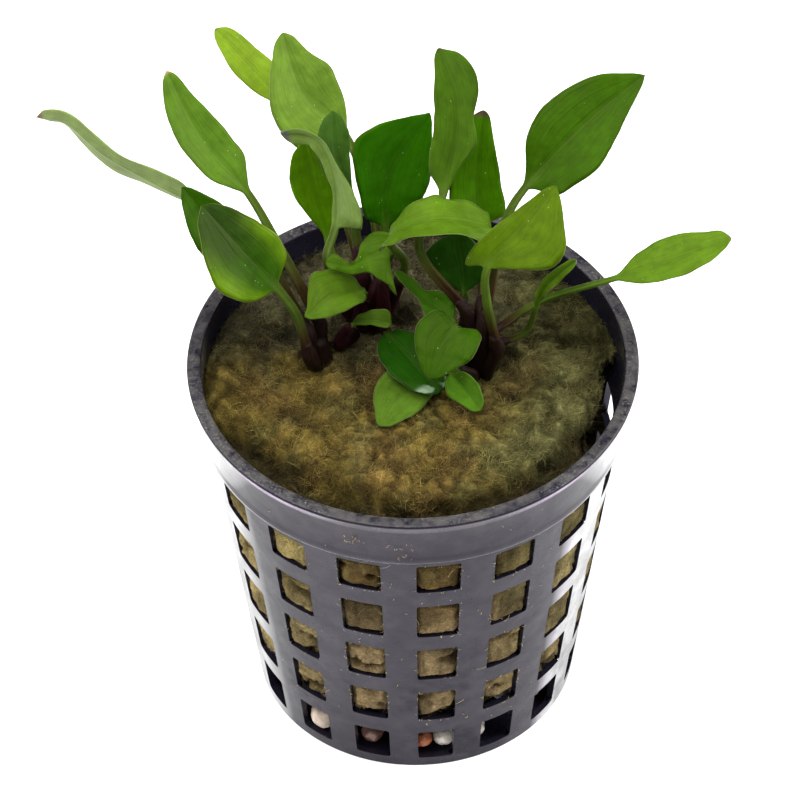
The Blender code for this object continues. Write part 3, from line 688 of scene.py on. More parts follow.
def build_wool(name, node_name, side, finish, seed):
    """One slab: a fine skin, tufted on top, sunk in places behind the wall. Returns the skin's rings."""
    rows = wool_rows(side)
    points = np.concatenate(rows)
    top_z = WOOL_TOP - WOOL_EDGE_DROP
    top = smooth_step(top_z - 0.8, top_z + 0.4, points[:, 2])
    big = lumps(points, 6.5, seed, 3)
    small = lumps(points, 1.7, seed + 1, 3)
    tiny = lumps(points, 0.6, seed + 2, 2)
    wide, fine = tufts(points, 5.0, seed + 4), tufts(points, 2.1, seed + 6)
    rise = 0.40 * big + 0.50 * (wide - 0.75) + 0.25 * (fine - 0.75) + 0.24 * small + 0.14 * tiny
    rise = rise - hollow_depth(points) * (1.0 + 0.4 * small) - RIM_SINK * front_rim(points)
    points[:, 2] += np.minimum(rise, 0.75) * top
    radial = np.hypot(points[:, 0], points[:, 1]) + 1e-6
    hidden = inner_radii(points) - radial
    bulge = window_bulge(points) * (1.0 - top)
    blocks = lumps(points * np.array([1.0, 1.0, 1.3]), 4.2, seed + 3, 4)
    low_edge = smooth_step(11.7, 9.9, points[:, 2] + 2.4 * blocks)
    worn_and_shaded = np.maximum(smooth_step(0.34, 0.75, blocks), low_edge)
    sink = (1.0 * worn_and_shaded + 0.16 * (1.0 - fine) + 0.18 * small) * (1.0 - top)
    sink = sink - (WALL - 0.05) * bulge * (1.0 - worn_and_shaded)
    at_seam = smooth_step(0.0, 2.0, np.abs(points[:, 1] - seam_y(points[:, 0])))
    points[:, :2] *= (1.0 - sink * at_seam / radial)[:, None]
    points[:, 0] += 0.25 * lumps(points, 1.3, seed + 5, 2) * top
    # Painted shade: on the top the tint is darker in the creases between tufts.
    crease_shade = mix(0.32, 1.04, wide) * mix(0.62, 1.08, fine)
    upright = lumps(points * np.array([1.0, 1.0, 0.12]), 0.9, seed + 7, 2)
    cloud = smooth_step(-0.45, 0.45, lumps(points, 6.0, seed + 9, 3))
    # Painted shade at the side: much darker where the wool is worn back from the windows, a little darker in
    # its creases.
    at_side = (1.0 - 0.90 * worn_and_shaded) * mix(0.86, 1.05, fine) * (1.0 + 0.55 * upright) * mix(0.55, 1.15, cloud)
    # Painted light: the wool at the left side is made lighter.
    at_side = at_side * (1.0 + 0.8 * smooth_step(-7.0, -13.0, points[:, 0]))
    # Painted shade: darker where the wool lies deep behind the wall.
    at_side = at_side * (1.0 - 0.65 * smooth_step(0.6, 1.6, hidden))
    tint = wool_tint(points) * np.where(top > 0.5, crease_shade, at_side)[:, None]
    levels, count = len(rows), len(rows[0])
    add_piece(name, points, skin_faces(levels, count), finish, [node_name], {"tint": tint})
    return points.reshape(levels, count, 3)


def add_fibres(name, surface, number, finish, seed, lift=0.85):
    """Loose fine strands that rise from the wool's skin, as one joined mesh of narrow ribbons."""
    rng = np.random.default_rng(seed)
    a = surface[:-1].reshape(-1, 3)
    b = np.roll(surface, -1, axis=1)[:-1].reshape(-1, 3)
    c = surface[1:].reshape(-1, 3)
    area = np.linalg.norm(np.cross(b - a, c - a), axis=1)
    pick = rng.choice(len(area), size=number, p=area / area.sum())
    a, b, c = a[pick], b[pick], c[pick]
    u, v = rng.random(number)[:, None], rng.random(number)[:, None]
    place = a + u * (b - a) + v * (c - a)
    out = np.cross(b - a, c - a)
    out /= np.linalg.norm(out, axis=1)[:, None] + 1e-9
    shift = Vector((seed, 0.0, 0.0))
    flow = np.array([noise.noise_vector(Vector(p) / 5.0 + shift) for p in place])
    tuft = np.array([noise.noise_vector(Vector(p) / 1.1 + shift) for p in place])
    heading = flow * 1.2 + tuft * 1.6 + rng.normal(size=(number, 3)) * 0.5
    heading -= out * (heading * out).sum(axis=1)[:, None]
    heading /= np.linalg.norm(heading, axis=1)[:, None] + 1e-9
    sideways = np.cross(out, heading)
    loose = rng.random((number, 1)) < 0.07
    reach = rng.uniform(*FIBRE_LENGTHS, number)[:, None] * np.where(loose, 1.8, 1.0)
    bend = rng.normal(size=(number, 1)) * 0.30
    rise = rng.uniform(0.3, 1.0, (number, 1)) * lift
    half = FIBRE_HALF_WIDTH * rng.uniform(0.7, 1.5, (number, 1))
    clump = smooth_step(-0.5, 0.5, lumps(place, 2.4, seed + 8, 3))[:, None]
    level = rng.choice([0.60, 0.88, 1.25, 2.0], size=number, p=[0.28, 0.40, 0.26, 0.06])[:, None]
    tint = np.clip(mix(wool_tint(place), STRAW, 0.10) * level * mix(0.60, 1.25, clump), 0.0, 0.8)
    across = sideways * math.cos(0.6) + out * math.sin(0.6)
    points, tints = [], []
    for k in range(FIBRE_STEPS):
        t = k / (FIBRE_STEPS - 1)
        spot = (place + heading * reach * (t - 0.2) + sideways * bend * reach * t * t
                + out * (rise * t * (1.7 - 0.9 * t)))
        taper = 1.0 - 0.65 * t
        points += [spot - across * half * taper, spot + across * half * taper]
        # Painted light and shade: each fibre is darker at its root in the pile and lighter at its tip.
        tints += [tint * mix(0.55, 1.25, t)] * 2
    points = np.stack(points, axis=1).reshape(-1, 3)
    tints = np.stack(tints, axis=1).reshape(-1, 3)
    points[:, 2] = np.minimum(points[:, 2], POT_HEIGHT - 0.6)
    away = np.hypot(points[:, 0], points[:, 1])
    limit = inner_radii(points) - 0.05 + WALL * window_bulge(points)
    points[:, :2] *= np.where(away > limit, limit / away, 1.0)[:, None]
    base = (np.arange(number) * FIBRE_STEPS * 2)[:, None]
    faces = np.concatenate([base + 2 * k + np.array([0, 1, 3, 2]) for k in range(FIBRE_STEPS - 1)])
    add_piece(name, points, faces, finish, [], {"tint": tints})


def outer_radius(z):
    """The pot's outer radius at height z, on the wall or on the collar."""
    share = (z - COLLAR_BOTTOM) / (POT_HEIGHT - LIP_THICKNESS - COLLAR_BOTTOM)
    collar = mix(SHOULDER_RADIUS + COLLAR_STEP, LIP_RADIUS - LIP_OVERHANG, min(max(share, 0.0), 1.0))
    return wall_radius(z) if z < COLLAR_BOTTOM else collar


def add_stray_bits(finish):
    """Crumbs and hairs of wool that cling to the pot's front, its collar and its windows' edges."""
    rng = random.Random(77)
    starts = []
    for degrees, height, spread, number in ((-106.5, 46.6, 0.5, 16), (-94.0, 46.3, 0.9, 12),
                                            (-92.5, 45.2, 0.4, 5)):
        for _ in range(number):
            angle = math.radians(degrees) + rng.gauss(0, spread) / 26.0
            starts.append((angle, height + rng.gauss(0, spread)))
    for _ in range(60):
        starts.append((math.radians(rng.uniform(-150.0, -40.0)), rng.uniform(6.0, 48.0)))
    for _ in range(230):
        column = rng.choice((-3, -2, -1, -1, -1, 0, 0, 1, 1, 2))
        low, high = rng.choice(WINDOW_ROWS[1:])
        middle = FIRST_COLUMN + column * math.tau / COLUMNS
        if rng.random() < 0.5:
            angle = middle + rng.uniform(-0.5, 0.5) * WINDOW_ANGLE
            starts.append((angle, rng.choice((low - 0.05, high + 0.05))))
        else:
            edge = middle + rng.choice((-0.5, 0.5)) * (WINDOW_ANGLE + 0.004)
            starts.append((edge, rng.uniform(low, high)))
    points, faces, tints = [], [], []
    for angle, height in starts:
        heading = rng.uniform(0, math.tau)
        bend = rng.uniform(-1.2, 1.2)
        length = rng.uniform(0.15, 0.5) if rng.random() < 0.93 else rng.uniform(0.7, 1.8)
        half = rng.uniform(0.012, 0.022)
        tint = STRAW * rng.uniform(0.9, 1.9) if rng.random() < 0.8 else linear(168, 162, 170)
        for k in range(BIT_STEPS):
            share = k / (BIT_STEPS - 1)
            turn = heading + bend * share
            radius = outer_radius(height) + 0.05 + 0.12 * math.sin(share * 3.0)
            for sideways in (-half, half):
                a = angle - sideways * math.sin(turn) / radius
                points.append(polar(radius, a, height + sideways * math.cos(turn)))
                tints.append(tint)
            if k:
                last = len(points)
                faces.append((last - 4, last - 3, last - 1, last - 2))
            angle += length / (BIT_STEPS - 1) * math.cos(turn) / radius
            height += length / (BIT_STEPS - 1) * math.sin(turn)
    add_piece("stray_wool_bits", points, faces, finish, [], {"tint": np.array(tints)})


BARK = linear(30, 16, 11)
PLUM = linear(38, 8, 13)


def tube(route, radii, sides, seed):
    """Points and faces of a tapered, slightly uneven tube along a short route."""
    route = [Vector(p) for p in route]
    points = []
    phase = random.Random(seed).uniform(0, 6)
    first = None
    for i, place in enumerate(route):
        along = (route[min(i + 1, len(route) - 1)] - route[max(i - 1, 0)]).normalized()
        first = (first - along * first.dot(along) if i else along.orthogonal()).normalized()
        second = along.cross(first)
        for k in range(sides):
            angle = math.tau * k / sides
            uneven = 1.0 + 0.06 * math.sin(3 * angle + phase + i * 0.4) + 0.03 * math.sin(7 * angle + phase)
            points.append(place + (first * math.cos(angle) + second * math.sin(angle)) * radii[i] * uneven)
    return points, skin_faces(len(route), sides)


def build_crown(name, crown, finish, seed, low_tint, high_tint, sheath):
    """A rootstock: a stub in the wool, wrapped by the sheath at the foot of each stalk."""
    x, y, radius, height = crown
    points, faces, tints = [], [], []

    def join(more_points, more_faces, colour_low, colour_high):
        first = len(points)
        low = min(p.z for p in more_points)
        high = max(p.z for p in more_points)
        points.extend(more_points)
        faces.extend(tuple(first + i for i in f) for f in more_faces)
        for p in more_points:
            tints.append(mix(colour_low, colour_high, (p.z - low) / (high - low + 1e-6)))

    steps = 12
    route, radii = [], []
    for i in range(steps):
        share = i / (steps - 1)
        route.append((x, y, CROWN_FOOT - 0.9 + share * (height + 0.7)))
        radii.append(0.95 * radius * (1.08 - 0.5 * share ** 1.5))
    join(*tube(route, radii, 20, seed), low_tint * 0.6, low_tint)
    for i, (stalk, thickness) in enumerate(STALKS[name]):
        foot = stalk[0]
        low = Vector((mix(x, foot.x, 0.45), mix(y, foot.y, 0.45), CROWN_FOOT - 0.4 + 0.15 * (i % 3)))
        route = [low.lerp(foot, k / 6) for k in range(6)]
        reach, share, last = 0.0, 0.0, foot
        length = sheath * (0.8 + 0.13 * (i % 4))
        upper = [foot]
        while reach < length and share < 0.5:
            share += 0.01
            place = curve_points(stalk, [share])[0]
            reach += (place - last).length
            last = place
            upper.append(place)
        route += upper[::max(len(upper) // 7, 1)]
        end = STALK_FOOT_RADIUS * thickness
        radii = []
        for k in range(len(route)):
            down = k / (len(route) - 1)
            radii.append(mix(end + 0.30, end - 0.02, down ** 1.6) * (1.0 + 0.05 * math.sin(down * 9.0 + i)))
        join(*tube(route, radii, 18, seed + 3 + i), low_tint * 0.8, high_tint)
    add_piece(name + "_crown", points, faces, finish, ["crown_" + name],
              {"tint": np.array(tints)})


def curve_points(route, shares):
    """Points on the smooth curve through the route, evenly shared between its points."""
    spans = len(route) - 1
    out = []
    for share in shares:
        place = min(max(share, 0.0), 1.0) * spans
        i = min(int(place), spans - 1)
        t = place - i
        p1, p2 = route[i], route[i + 1]
        p0 = route[i - 1] if i > 0 else p1 * 2 - p2
        p3 = route[i + 2] if i + 2 <= spans else p2 * 2 - p1
        out.append(0.5 * (2 * p1 + (p2 - p0) * t + (2 * p0 - 5 * p1 + 4 * p2 - p3) * t ** 2
                          + (3 * p1 - p0 - 3 * p2 + p3) * t ** 3))
    return out


def width_at(widths, share):
    """The half width at a share of the blade's length, on a smooth line through the given widths."""
    share = min(max(share, 0.0), 1.0)
    i = 0
    while share > WIDTH_SHARES[i + 1]:
        i += 1

    def slope(k):
        low, high = max(k - 1, 0), min(k + 1, len(widths) - 1)
        return (widths[high] - widths[low]) / (WIDTH_SHARES[high] - WIDTH_SHARES[low])

    span = WIDTH_SHARES[i + 1] - WIDTH_SHARES[i]
    t = (share - WIDTH_SHARES[i]) / span
    return ((2 * t ** 3 - 3 * t ** 2 + 1) * widths[i] + (t ** 3 - 2 * t ** 2 + t) * span * slope(i)
            + (3 * t ** 2 - 2 * t ** 3) * widths[i + 1] + (t ** 3 - t ** 2) * span * slope(i + 1))


STALK_GREEN = leaf_green(86, 112, 40)
STALK_BROWN = leaf_green(62, 40, 26)
STALK_DARK = linear(34, 18, 14)

# The route and the thickness of each stalk, by the crown that it grows from; build_leaf fills these.
STALKS = {"left": [], "middle": [], "right": []}


def side_directions(tangents, start, roll):
    """The sideways direction at each station: rolled from level at start, and carried along from there."""
    along = tangents[start]
    level = along.cross(Vector((0.0, 0.0, 1.0))).normalized()
    angle = math.radians(roll)
    sides = [None] * len(tangents)
    sides[start] = level * math.cos(angle) + level.cross(along) * math.sin(angle)
    for stations, back in ((range(start + 1, len(tangents)), -1), (range(start - 1, -1, -1), 1)):
        for i in stations:
            near = sides[i + back]
            sides[i] = (near - tangents[i] * near.dot(tangents[i])).normalized()
    return sides


def half_width(widths, share, seed, shift, torn):
    """The blade's half width with its uneven margin, and with a rounded or a torn tip."""
    reach = max(width_at(widths, share), 0.1)
    reach *= 1.0 + 0.03 * noise.noise(Vector((share * 6.0, seed * 1.7, shift)))
    reach *= 1.0 + 0.012 * noise.noise(Vector((share * 26.0, seed * 1.7, shift)))
    if torn:
        bite = 0.5 + 0.5 * noise.noise(Vector((share * 40.0, seed, shift)))
        reach *= 1.0 - 0.25 * smooth_step(0.86, 1.0, share) * bite
    else:
        reach *= math.sqrt(max(1.0 - (max(share - TIP_FROM, 0.0) / TIP_LENGTH) ** 2, 0.0))
    return max(reach, 0.05)


def build_leaf(crown, name, stalk, blade, left, right, *, green, roll=0.0, twist=0.0, fold=14.0,
               lobe=(0.0, 0.0), stalk_radius=1.0, margin=None, tip=None, tip_from=0.97, wave=0.16, neck=0.10,
               stalk_green=0.75, torn=False, droplet=False, fade=None, glow=None):
    """One leaf: its channelled stalk widens into a veined blade with a thin, gently waved margin.

    left and right are half widths at WIDTH_SHARES of the blade, roll turns the blade about its rib,
    twist adds to that towards the tip, fold raises each half, and lobe moves each half's foot back.
    green is the blade's screen colour, margin its edge's and tip its tip's, from tip_from on; fade is the
    green towards the tip, and glow a painted highlight: a lighter green along both margins.
    """
    seed = FIRST_LEAF_SEED + sum(len(routes) for routes in STALKS.values())
    route = [Vector(p) for p in (*stalk, *blade)]
    STALKS[crown].append((route, stalk_radius))
    base_at = len(stalk) / (len(route) - 1)
    body_rings = BLADE_RINGS - TIP_RINGS
    shares = [TIP_FROM * i / (body_rings - 1) for i in range(body_rings)]
    shares += [TIP_FROM + TIP_LENGTH * math.sin(math.pi / 2 * i / TIP_RINGS) for i in range(1, TIP_RINGS + 1)]
    stations = [base_at * i / STALK_RINGS for i in range(STALK_RINGS)]
    stations += [base_at + (1.0 - base_at) * share for share in shares]
    places = curve_points(route, stations)
    step = 0.004
    ahead = curve_points(route, [s + step for s in stations])
    behind = curve_points(route, [s - step for s in stations])
    tangents = [(a - b).normalized() for a, b in zip(ahead, behind)]
    sides = side_directions(tangents, STALK_RINGS, roll)

    # Once round a ring: t runs from -1 to 1 over the upper face, and back under it.
    upper = np.linspace(-1.0, 1.0, ACROSS)
    t = np.concatenate([upper, upper[::-1][1:-1]])
    off_rib = np.abs(t)
    count = len(t)
    below = np.arange(count) >= ACROSS
    upper_tint = leaf_green(*green)
    under_tint = mix(upper_tint, leaf_green(138, 158, 98), 0.55)
    edge_tint = mix(upper_tint, leaf_green(150, 164, 100), 0.55) if margin is None else leaf_green(*margin)
    tip_tint = upper_tint * 0.8 if tip is None else leaf_green(*tip)

    def ring_tint(share, stalk_share):
        stalk_tint = mix(STALK_DARK, STALK_BROWN, smooth_step(0.0, 0.2, stalk_share))
        green_share = smooth_step(0.12, 0.6, stalk_share) * stalk_green
        stalk_tint = mix(stalk_tint, mix(STALK_GREEN, upper_tint, 0.4), green_share)
        tint = np.where(below[:, None], under_tint, upper_tint)
        if fade is not None:
            tint = mix(tint, leaf_green(*fade), smooth_step(0.15, 0.75, share))
        # A painted highlight: a lighter green along both margins, towards the blade's foot.
        if glow is not None:
            near_margin = smooth_step(0.35, 1.0, off_rib) * (1.0 - smooth_step(0.40, 0.85, share))
            tint = mix(tint, leaf_green(*glow), near_margin[:, None])
        tint = mix(tint, tip_tint, smooth_step(tip_from, min(tip_from + 0.04, 1.0), share))
        near_base = 1.0 - smooth_step(0.0, 0.22, share)
        on_rib = np.exp(-(t / 0.25) ** 2)[:, None]
        tint = mix(tint, STALK_GREEN * 1.1, near_base * on_rib * 0.5)
        return mix(stalk_tint, tint, smooth_step(-0.06, 0.08, share))

    rng = random.Random(seed)
    phases = [rng.uniform(0, 6.28) for _ in range(4)]
    pace = [rng.uniform(9.0, 13.0) for _ in range(2)]
    points, along_all, tints = [], [], []
    for station, place, along, side in zip(stations, places, tangents, sides):
        share = (station - base_at) / (1.0 - base_at)
        turn = math.radians(twist) * max(share, 0.0)
        side = side * math.cos(turn) + side.cross(along) * math.sin(turn)
        up = side.cross(along)
        side, up, along, place = (np.array(v) for v in (side, up, along, place))
        stalk_share = min(station / base_at, 1.0)

        radius = mix(STALK_FOOT_RADIUS, STALK_TOP_RADIUS, stalk_share) * stalk_radius
        round_x = radius * np.sin(math.pi / 2 * t)
        bulge = radius * np.cos(math.pi / 2 * t)
        channel = 0.55 * radius * np.exp(-(t / 0.4) ** 2)
        round_z = np.where(below, -bulge, 0.8 * bulge - channel)

        reaches = [half_width(left, share, seed, 0.0, torn), half_width(right, share, seed, 9.0, torn)]
        reach = np.where(t > 0, reaches[1], reaches[0])
        raised = math.radians(fold) * smooth_step(0.0, 0.15, share)
        blade_x = reach * t * math.cos(raised)
        body = mix(MARGIN_THICKNESS, BLADE_THICKNESS, 1.0 - off_rib ** 3) / 2
        rib = 0.30 * (1.0 - 0.85 * max(share, 0.0)) * np.exp(-(reach * t / 0.33) ** 2)
        veins = sum(np.exp(-((off_rib - v) / 0.06) ** 2) for v in SIDE_VEINS)
        groove = 0.30 * rib + 0.010 * veins * min(reaches) / 3.0
        blade_z = reach * math.sin(raised) * off_rib ** 0.85
        blade_z = blade_z + np.where(below, -body - rib - 0.015 * veins, body - groove)
        rippling = wave * (smooth_step(0.0, 0.25, share) * (1.0 - smooth_step(0.85, 1.0, share)))
        ripple = np.where(t > 0,
                          math.sin(share * pace[0] + phases[0]) + 0.4 * math.sin(share * 27.0 + phases[2]),
                          math.sin(share * pace[1] + phases[1]) + 0.4 * math.sin(share * 24.0 + phases[3]))
        blade_z = blade_z + rippling * ripple * off_rib ** 2.0

        part = smooth_step(-0.5 * neck, neck, share)
        xs = mix(round_x, blade_x, part)
        zs = mix(round_z, blade_z, part)
        back = np.where(t > 0, lobe[1], lobe[0]) * (1.0 - smooth_step(0.0, 0.5, share)) * part
        points.append(place + side * xs[:, None] + up * zs[:, None] - along * (back * off_rib)[:, None])
        along_all.append(np.full(count, share))
        tints.append(ring_tint(share, stalk_share))
    points, along_all, tints = (np.concatenate(rings) for rings in (points, along_all, tints))
    # A real water droplet near the tip, its pale look a painted reflection in the tint.
    if droplet:
        wet_sheen = smooth_step(0.0, 0.12, lumps(points, 1.6, 4, 2)) * smooth_step(0.80, 0.88, along_all)
        tints = mix(tints, leaf_green(136, 160, 130), wet_sheen[:, None] * 0.9)
    faces = [tuple(reversed(f)) for f in skin_faces(len(stations), count)]
    layers = {"across": np.tile(t, len(stations)), "along": along_all, "tint": tints,
              "edge_tint": np.tile(edge_tint, (len(points), 1))}
    add_piece(name + "_leaf", points, faces, LEAF_SKIN, ["leaf_" + name], layers)


def build_leaves():
    """Every leaf, one by one, grouped by the crown that it grows from."""
    leaf = functools.partial(build_leaf, "left")
    leaf("far_left", [(-12.6, 5.7, 50.9), (-18.6, 12.0, 60.0)],
         [(-25.4, 14.0, 64.2), (-30.8, 15.5, 66.7), (-36.2, 16.5, 70.1), (-40.7, 17.4, 74.6),
          (-44.2, 18.0, 75.1)],
         (0.9, 2.2, 2.3, 2.0, 1.7, 1.5, 1.9, 1.7, 0.5), (0.9, 1.9, 2.4, 2.8, 2.5, 1.6, 0.9, 0.7, 0.4),
         roll=-75, fold=6, green=(150, 174, 98), tip=(140, 112, 92), tip_from=0.93)
    leaf("upper_left", [(-11.0, 4.7, 53.0), (-15.9, 9.5, 61.6)],
         [(-19.4, 12.5, 67.4), (-24.7, 17.0, 72.3), (-28.8, 22.0, 78.4)],
         (0.5, 1.4, 2.7, 3.1, 3.3, 3.1, 2.4, 1.5, 0.6), (0.5, 1.3, 2.6, 2.8, 2.7, 2.2, 1.5, 1.0, 0.5),
         roll=15, green=(85, 122, 31), tip=(190, 160, 120), tip_from=0.965)
    leaf("left_behind", [(-12.4, 3.0, 53.0), (-15.6, 5.9, 57.0)],
         [(-18.7, 8.5, 59.6), (-23.4, 10.0, 64.3), (-27.1, 11.5, 69.4)],
         (0.5, 1.6, 2.9, 3.8, 4.0, 3.4, 2.4, 1.3, 0.4), (0.5, 1.2, 1.9, 2.4, 2.6, 2.3, 1.6, 0.9, 0.3),
         roll=22, green=(44, 84, 2))
    leaf("left_large", [(-12.2, 1.2, 50.4), (-13.7, 1.8, 57.2)],
         [(-16.1, 2.0, 61.8), (-20.3, 3.0, 67.5), (-24.7, 5.5, 72.2)],
         (0.8, 2.8, 4.9, 6.2, 6.7, 5.8, 4.1, 2.4, 0.6), (0.7, 3.2, 4.1, 4.2, 4.1, 3.5, 2.5, 1.5, 0.5),
         roll=25, stalk_radius=1.05, green=(46, 84, 6), fade=(40, 66, 18), glow=(96, 132, 14),
         margin=(160, 172, 88), wave=0.22, neck=0.07)

    leaf = functools.partial(build_leaf, "middle")
    leaf("back_far", [(-5.4, 12.8, 51.0), (-8.5, 19.5, 58.5)],
         [(-13.1, 26.0, 66.1), (-18.1, 30.0, 69.8), (-23.2, 35.0, 72.8)],
         (0.4, 0.8, 1.3, 1.8, 2.1, 2.2, 1.7, 1.1, 0.5), (0.4, 1.1, 1.9, 2.3, 2.4, 2.1, 1.9, 1.4, 0.6),
         roll=15, green=(121, 152, 35), tip=(96, 110, 50))
    leaf("back_tall", [(-3.6, 12.2, 51.6), (-4.6, 17.4, 59.8)],
         [(-7.7, 22.9, 66.6), (-12.7, 26.4, 70.9), (-15.1, 31.0, 75.8)],
         (1.0, 4.4, 6.1, 6.2, 5.3, 3.9, 2.6, 1.6, 0.6), (0.4, 1.5, 3.0, 3.9, 4.2, 3.8, 2.3, 1.4, 0.6),
         roll=12, lobe=(1.2, 0.0), green=(99, 131, 41), margin=(150, 164, 110), wave=0.2)
    leaf("back_small", [(-5.9, 10.7, 54.0), (-6.6, 14.0, 58.8)],
         [(-7.3, 16.6, 63.4), (-8.9, 18.6, 68.3), (-9.2, 21.0, 72.4)],
         (0.4, 1.2, 2.1, 2.6, 2.7, 2.6, 2.2, 1.5, 0.5), (0.4, 0.6, 1.0, 1.5, 1.8, 1.9, 1.6, 1.1, 0.4),
         green=(66, 102, 34))
    leaf("twisted", [(-8.8, 11.0, 51.0), (-10.1, 10.9, 57.6)],
         [(-9.1, 12.2, 61.6), (-9.0, 14.2, 67.4), (-11.0, 16.6, 71.9), (-15.4, 17.9, 72.0)],
         (0.4, 0.5, 0.6, 0.8, 1.0, 1.4, 1.7, 1.3, 0.5), (1.0, 4.8, 5.2, 3.4, 2.2, 2.0, 1.9, 1.4, 0.5),
         roll=15, twist=15, fold=20, green=(124, 154, 70), tip=(112, 116, 104), tip_from=0.9, wave=0.22)
    leaf("ovate_behind", [(-7.3, 12.3, 51.4), (-9.4, 13.6, 54.8)],
         [(-10.0, 15.0, 57.1), (-11.5, 17.3, 62.7), (-12.7, 19.4, 69.0)],
         (0.4, 0.6, 1.2, 2.0, 2.7, 2.9, 2.6, 1.9, 0.6), (0.4, 0.9, 1.7, 2.7, 3.5, 3.9, 3.6, 2.6, 0.9),
         roll=10, green=(89, 139, 4))
    leaf("centre_large", [(-4.2, 9.4, 54.0), (-2.6, 12.5, 56.5)],
         [(-3.1, 14.0, 60.1), (-2.4, 16.0, 66.8), (2.4, 19.0, 73.8)],
         (0.9, 2.4, 3.1, 3.8, 5.4, 7.4, 6.0, 2.9, 0.5), (1.2, 3.5, 4.3, 4.7, 4.9, 4.5, 3.0, 1.3, 0.4),
         roll=-18, green=(47, 109, 0), margin=(112, 84, 56))
    leaf("centre_folded", [(-2.6, 9.2, 51.6), (-0.9, 8.8, 58.8)],
         [(-2.6, 6.5, 65.4), (2.8, 5.0, 69.6), (9.5, 6.9, 66.4)],
         (1.4, 1.7, 2.1, 3.0, 3.6, 3.6, 3.2, 2.8, 2.4), (1.6, 2.6, 3.4, 4.1, 4.8, 5.0, 4.9, 4.8, 4.8),
         roll=-25, fold=18, lobe=(1.4, 1.0), neck=0.03, green=(83, 116, 21), margin=(166, 186, 110),
         wave=0.3, torn=True)
    leaf("small_folded", [(-3.4, 7.6, 52.3), (-3.4, 8.0, 57.5)],
         [(-2.3, 8.6, 61.0), (-5.0, 8.0, 60.8), (-7.4, 7.7, 59.5), (-10.2, 8.2, 59.8)],
         (2.6, 5.6, 4.2, 2.5, 1.5, 1.1, 0.8, 0.7, 0.5), (1.8, 2.3, 2.6, 1.9, 0.6, 0.4, 0.9, 1.2, 0.5),
         roll=30, fold=4, green=(68, 105, 14), margin=(92, 66, 62), wave=0.25, neck=0.03)
    leaf("small_left", [(-5.8, 7.0, 50.9), (-6.2, 7.6, 53.6)],
         [(-5.7, 7.2, 55.8), (-9.0, 5.0, 57.1), (-12.8, 3.0, 55.8)],
         (0.4, 1.3, 2.1, 2.5, 2.6, 2.4, 1.9, 1.2, 0.5), (0.4, 1.2, 2.2, 3.2, 3.7, 3.7, 2.0, 0.7, 0.3),
         roll=20, green=(79, 111, 21), wave=0.22)
    leaf("small_curved", [(-8.8, 4.9, 48.9), (-8.5, 5.1, 50.4)],
         [(-7.2, 5.2, 52.0), (-5.1, 4.7, 53.2), (-2.5, 4.2, 53.1)],
         (0.3, 0.4, 0.7, 1.0, 1.3, 1.5, 1.6, 1.4, 0.7), (0.3, 0.4, 0.5, 0.7, 0.8, 0.9, 0.9, 0.8, 0.5),
         roll=-20, fold=30, stalk_radius=0.8, green=(74, 104, 26))
    leaf("dark_lower", [(-3.8, 7.2, 50.0), (-3.4, 6.2, 50.6)],
         [(-3.1, 5.0, 50.9), (-0.1, 0.2, 50.7), (3.1, -4.6, 50.3)],
         (0.5, 1.6, 2.4, 2.9, 3.1, 3.0, 2.5, 1.9, 1.0), (0.5, 1.7, 2.6, 3.1, 3.3, 3.0, 2.4, 1.6, 0.8),
         roll=-8, fold=6, green=(21, 66, 2), margin=(120, 140, 100), droplet=True)

    leaf = functools.partial(build_leaf, "right")
    leaf("big_right", [(8.4, 0.7, 56.3), (10.8, 6.0, 66.6)],
         [(13.6, 9.2, 70.9), (20.7, 14.0, 76.3), (27.9, 19.0, 79.6)],
         (0.5, 1.5, 3.7, 4.9, 4.9, 4.3, 3.1, 1.5, 0.3), (0.6, 3.8, 4.8, 5.5, 4.8, 3.5, 2.2, 1.1, 0.3),
         roll=-18, green=(50, 87, 3), tip=(96, 84, 56), tip_from=0.975)
    leaf("upright_right", [(8.3, 2.7, 56.3), (8.7, 9.4, 59.2)],
         [(8.2, 10.8, 62.8), (8.0, 13.6, 69.3), (8.8, 18.0, 75.1)],
         (0.9, 2.4, 3.6, 3.8, 3.4, 2.8, 2.1, 1.6, 0.9), (1.2, 2.9, 3.2, 2.9, 2.6, 2.1, 1.5, 1.0, 0.6),
         green=(61, 109, 0), margin=(92, 66, 62), tip=(86, 70, 52), tip_from=0.93)
    leaf("upright_centre", [(6.7, 2.6, 56.5), (0.9, 5.9, 64.2)],
         [(4.0, 10.5, 69.0), (5.7, 15.0, 77.3), (3.5, 20.0, 83.5)],
         (1.6, 2.4, 2.8, 2.9, 2.9, 2.5, 1.7, 1.0, 0.4), (0.4, 0.8, 1.6, 3.1, 2.4, 3.8, 4.1, 3.0, 0.9),
         green=(71, 106, 21), tip=(80, 66, 50))
    leaf("right_front", [(10.1, 0.1, 52.8), (8.8, -0.9, 61.8)],
         [(9.0, -0.8, 67.8), (12.9, 1.5, 72.0), (17.1, 4.5, 75.7)],
         (2.7, 2.7, 2.6, 2.3, 2.0, 1.6, 1.1, 0.7, 0.3), (0.6, 1.9, 3.8, 5.9, 7.0, 6.4, 4.2, 2.0, 0.4),
         roll=-16, fold=8, lobe=(2.3, 0.0), neck=0.03, green=(79, 108, 8), stalk_green=1.0)
    leaf("heart", [(5.0, 0.3, 52.6), (5.2, -1.1, 57.0)],
         [(5.2, -1.5, 58.3), (3.3, -3.5, 56.9), (1.9, -6.2, 54.4)],
         (1.7, 3.2, 3.9, 4.2, 4.0, 3.4, 2.5, 1.4, 0.4), (1.9, 3.0, 3.6, 3.9, 3.5, 2.7, 1.8, 1.0, 0.4),
         roll=14, fold=8, lobe=(1.5, 0.6), neck=0.02, green=(49, 84, 6), wave=0.1)
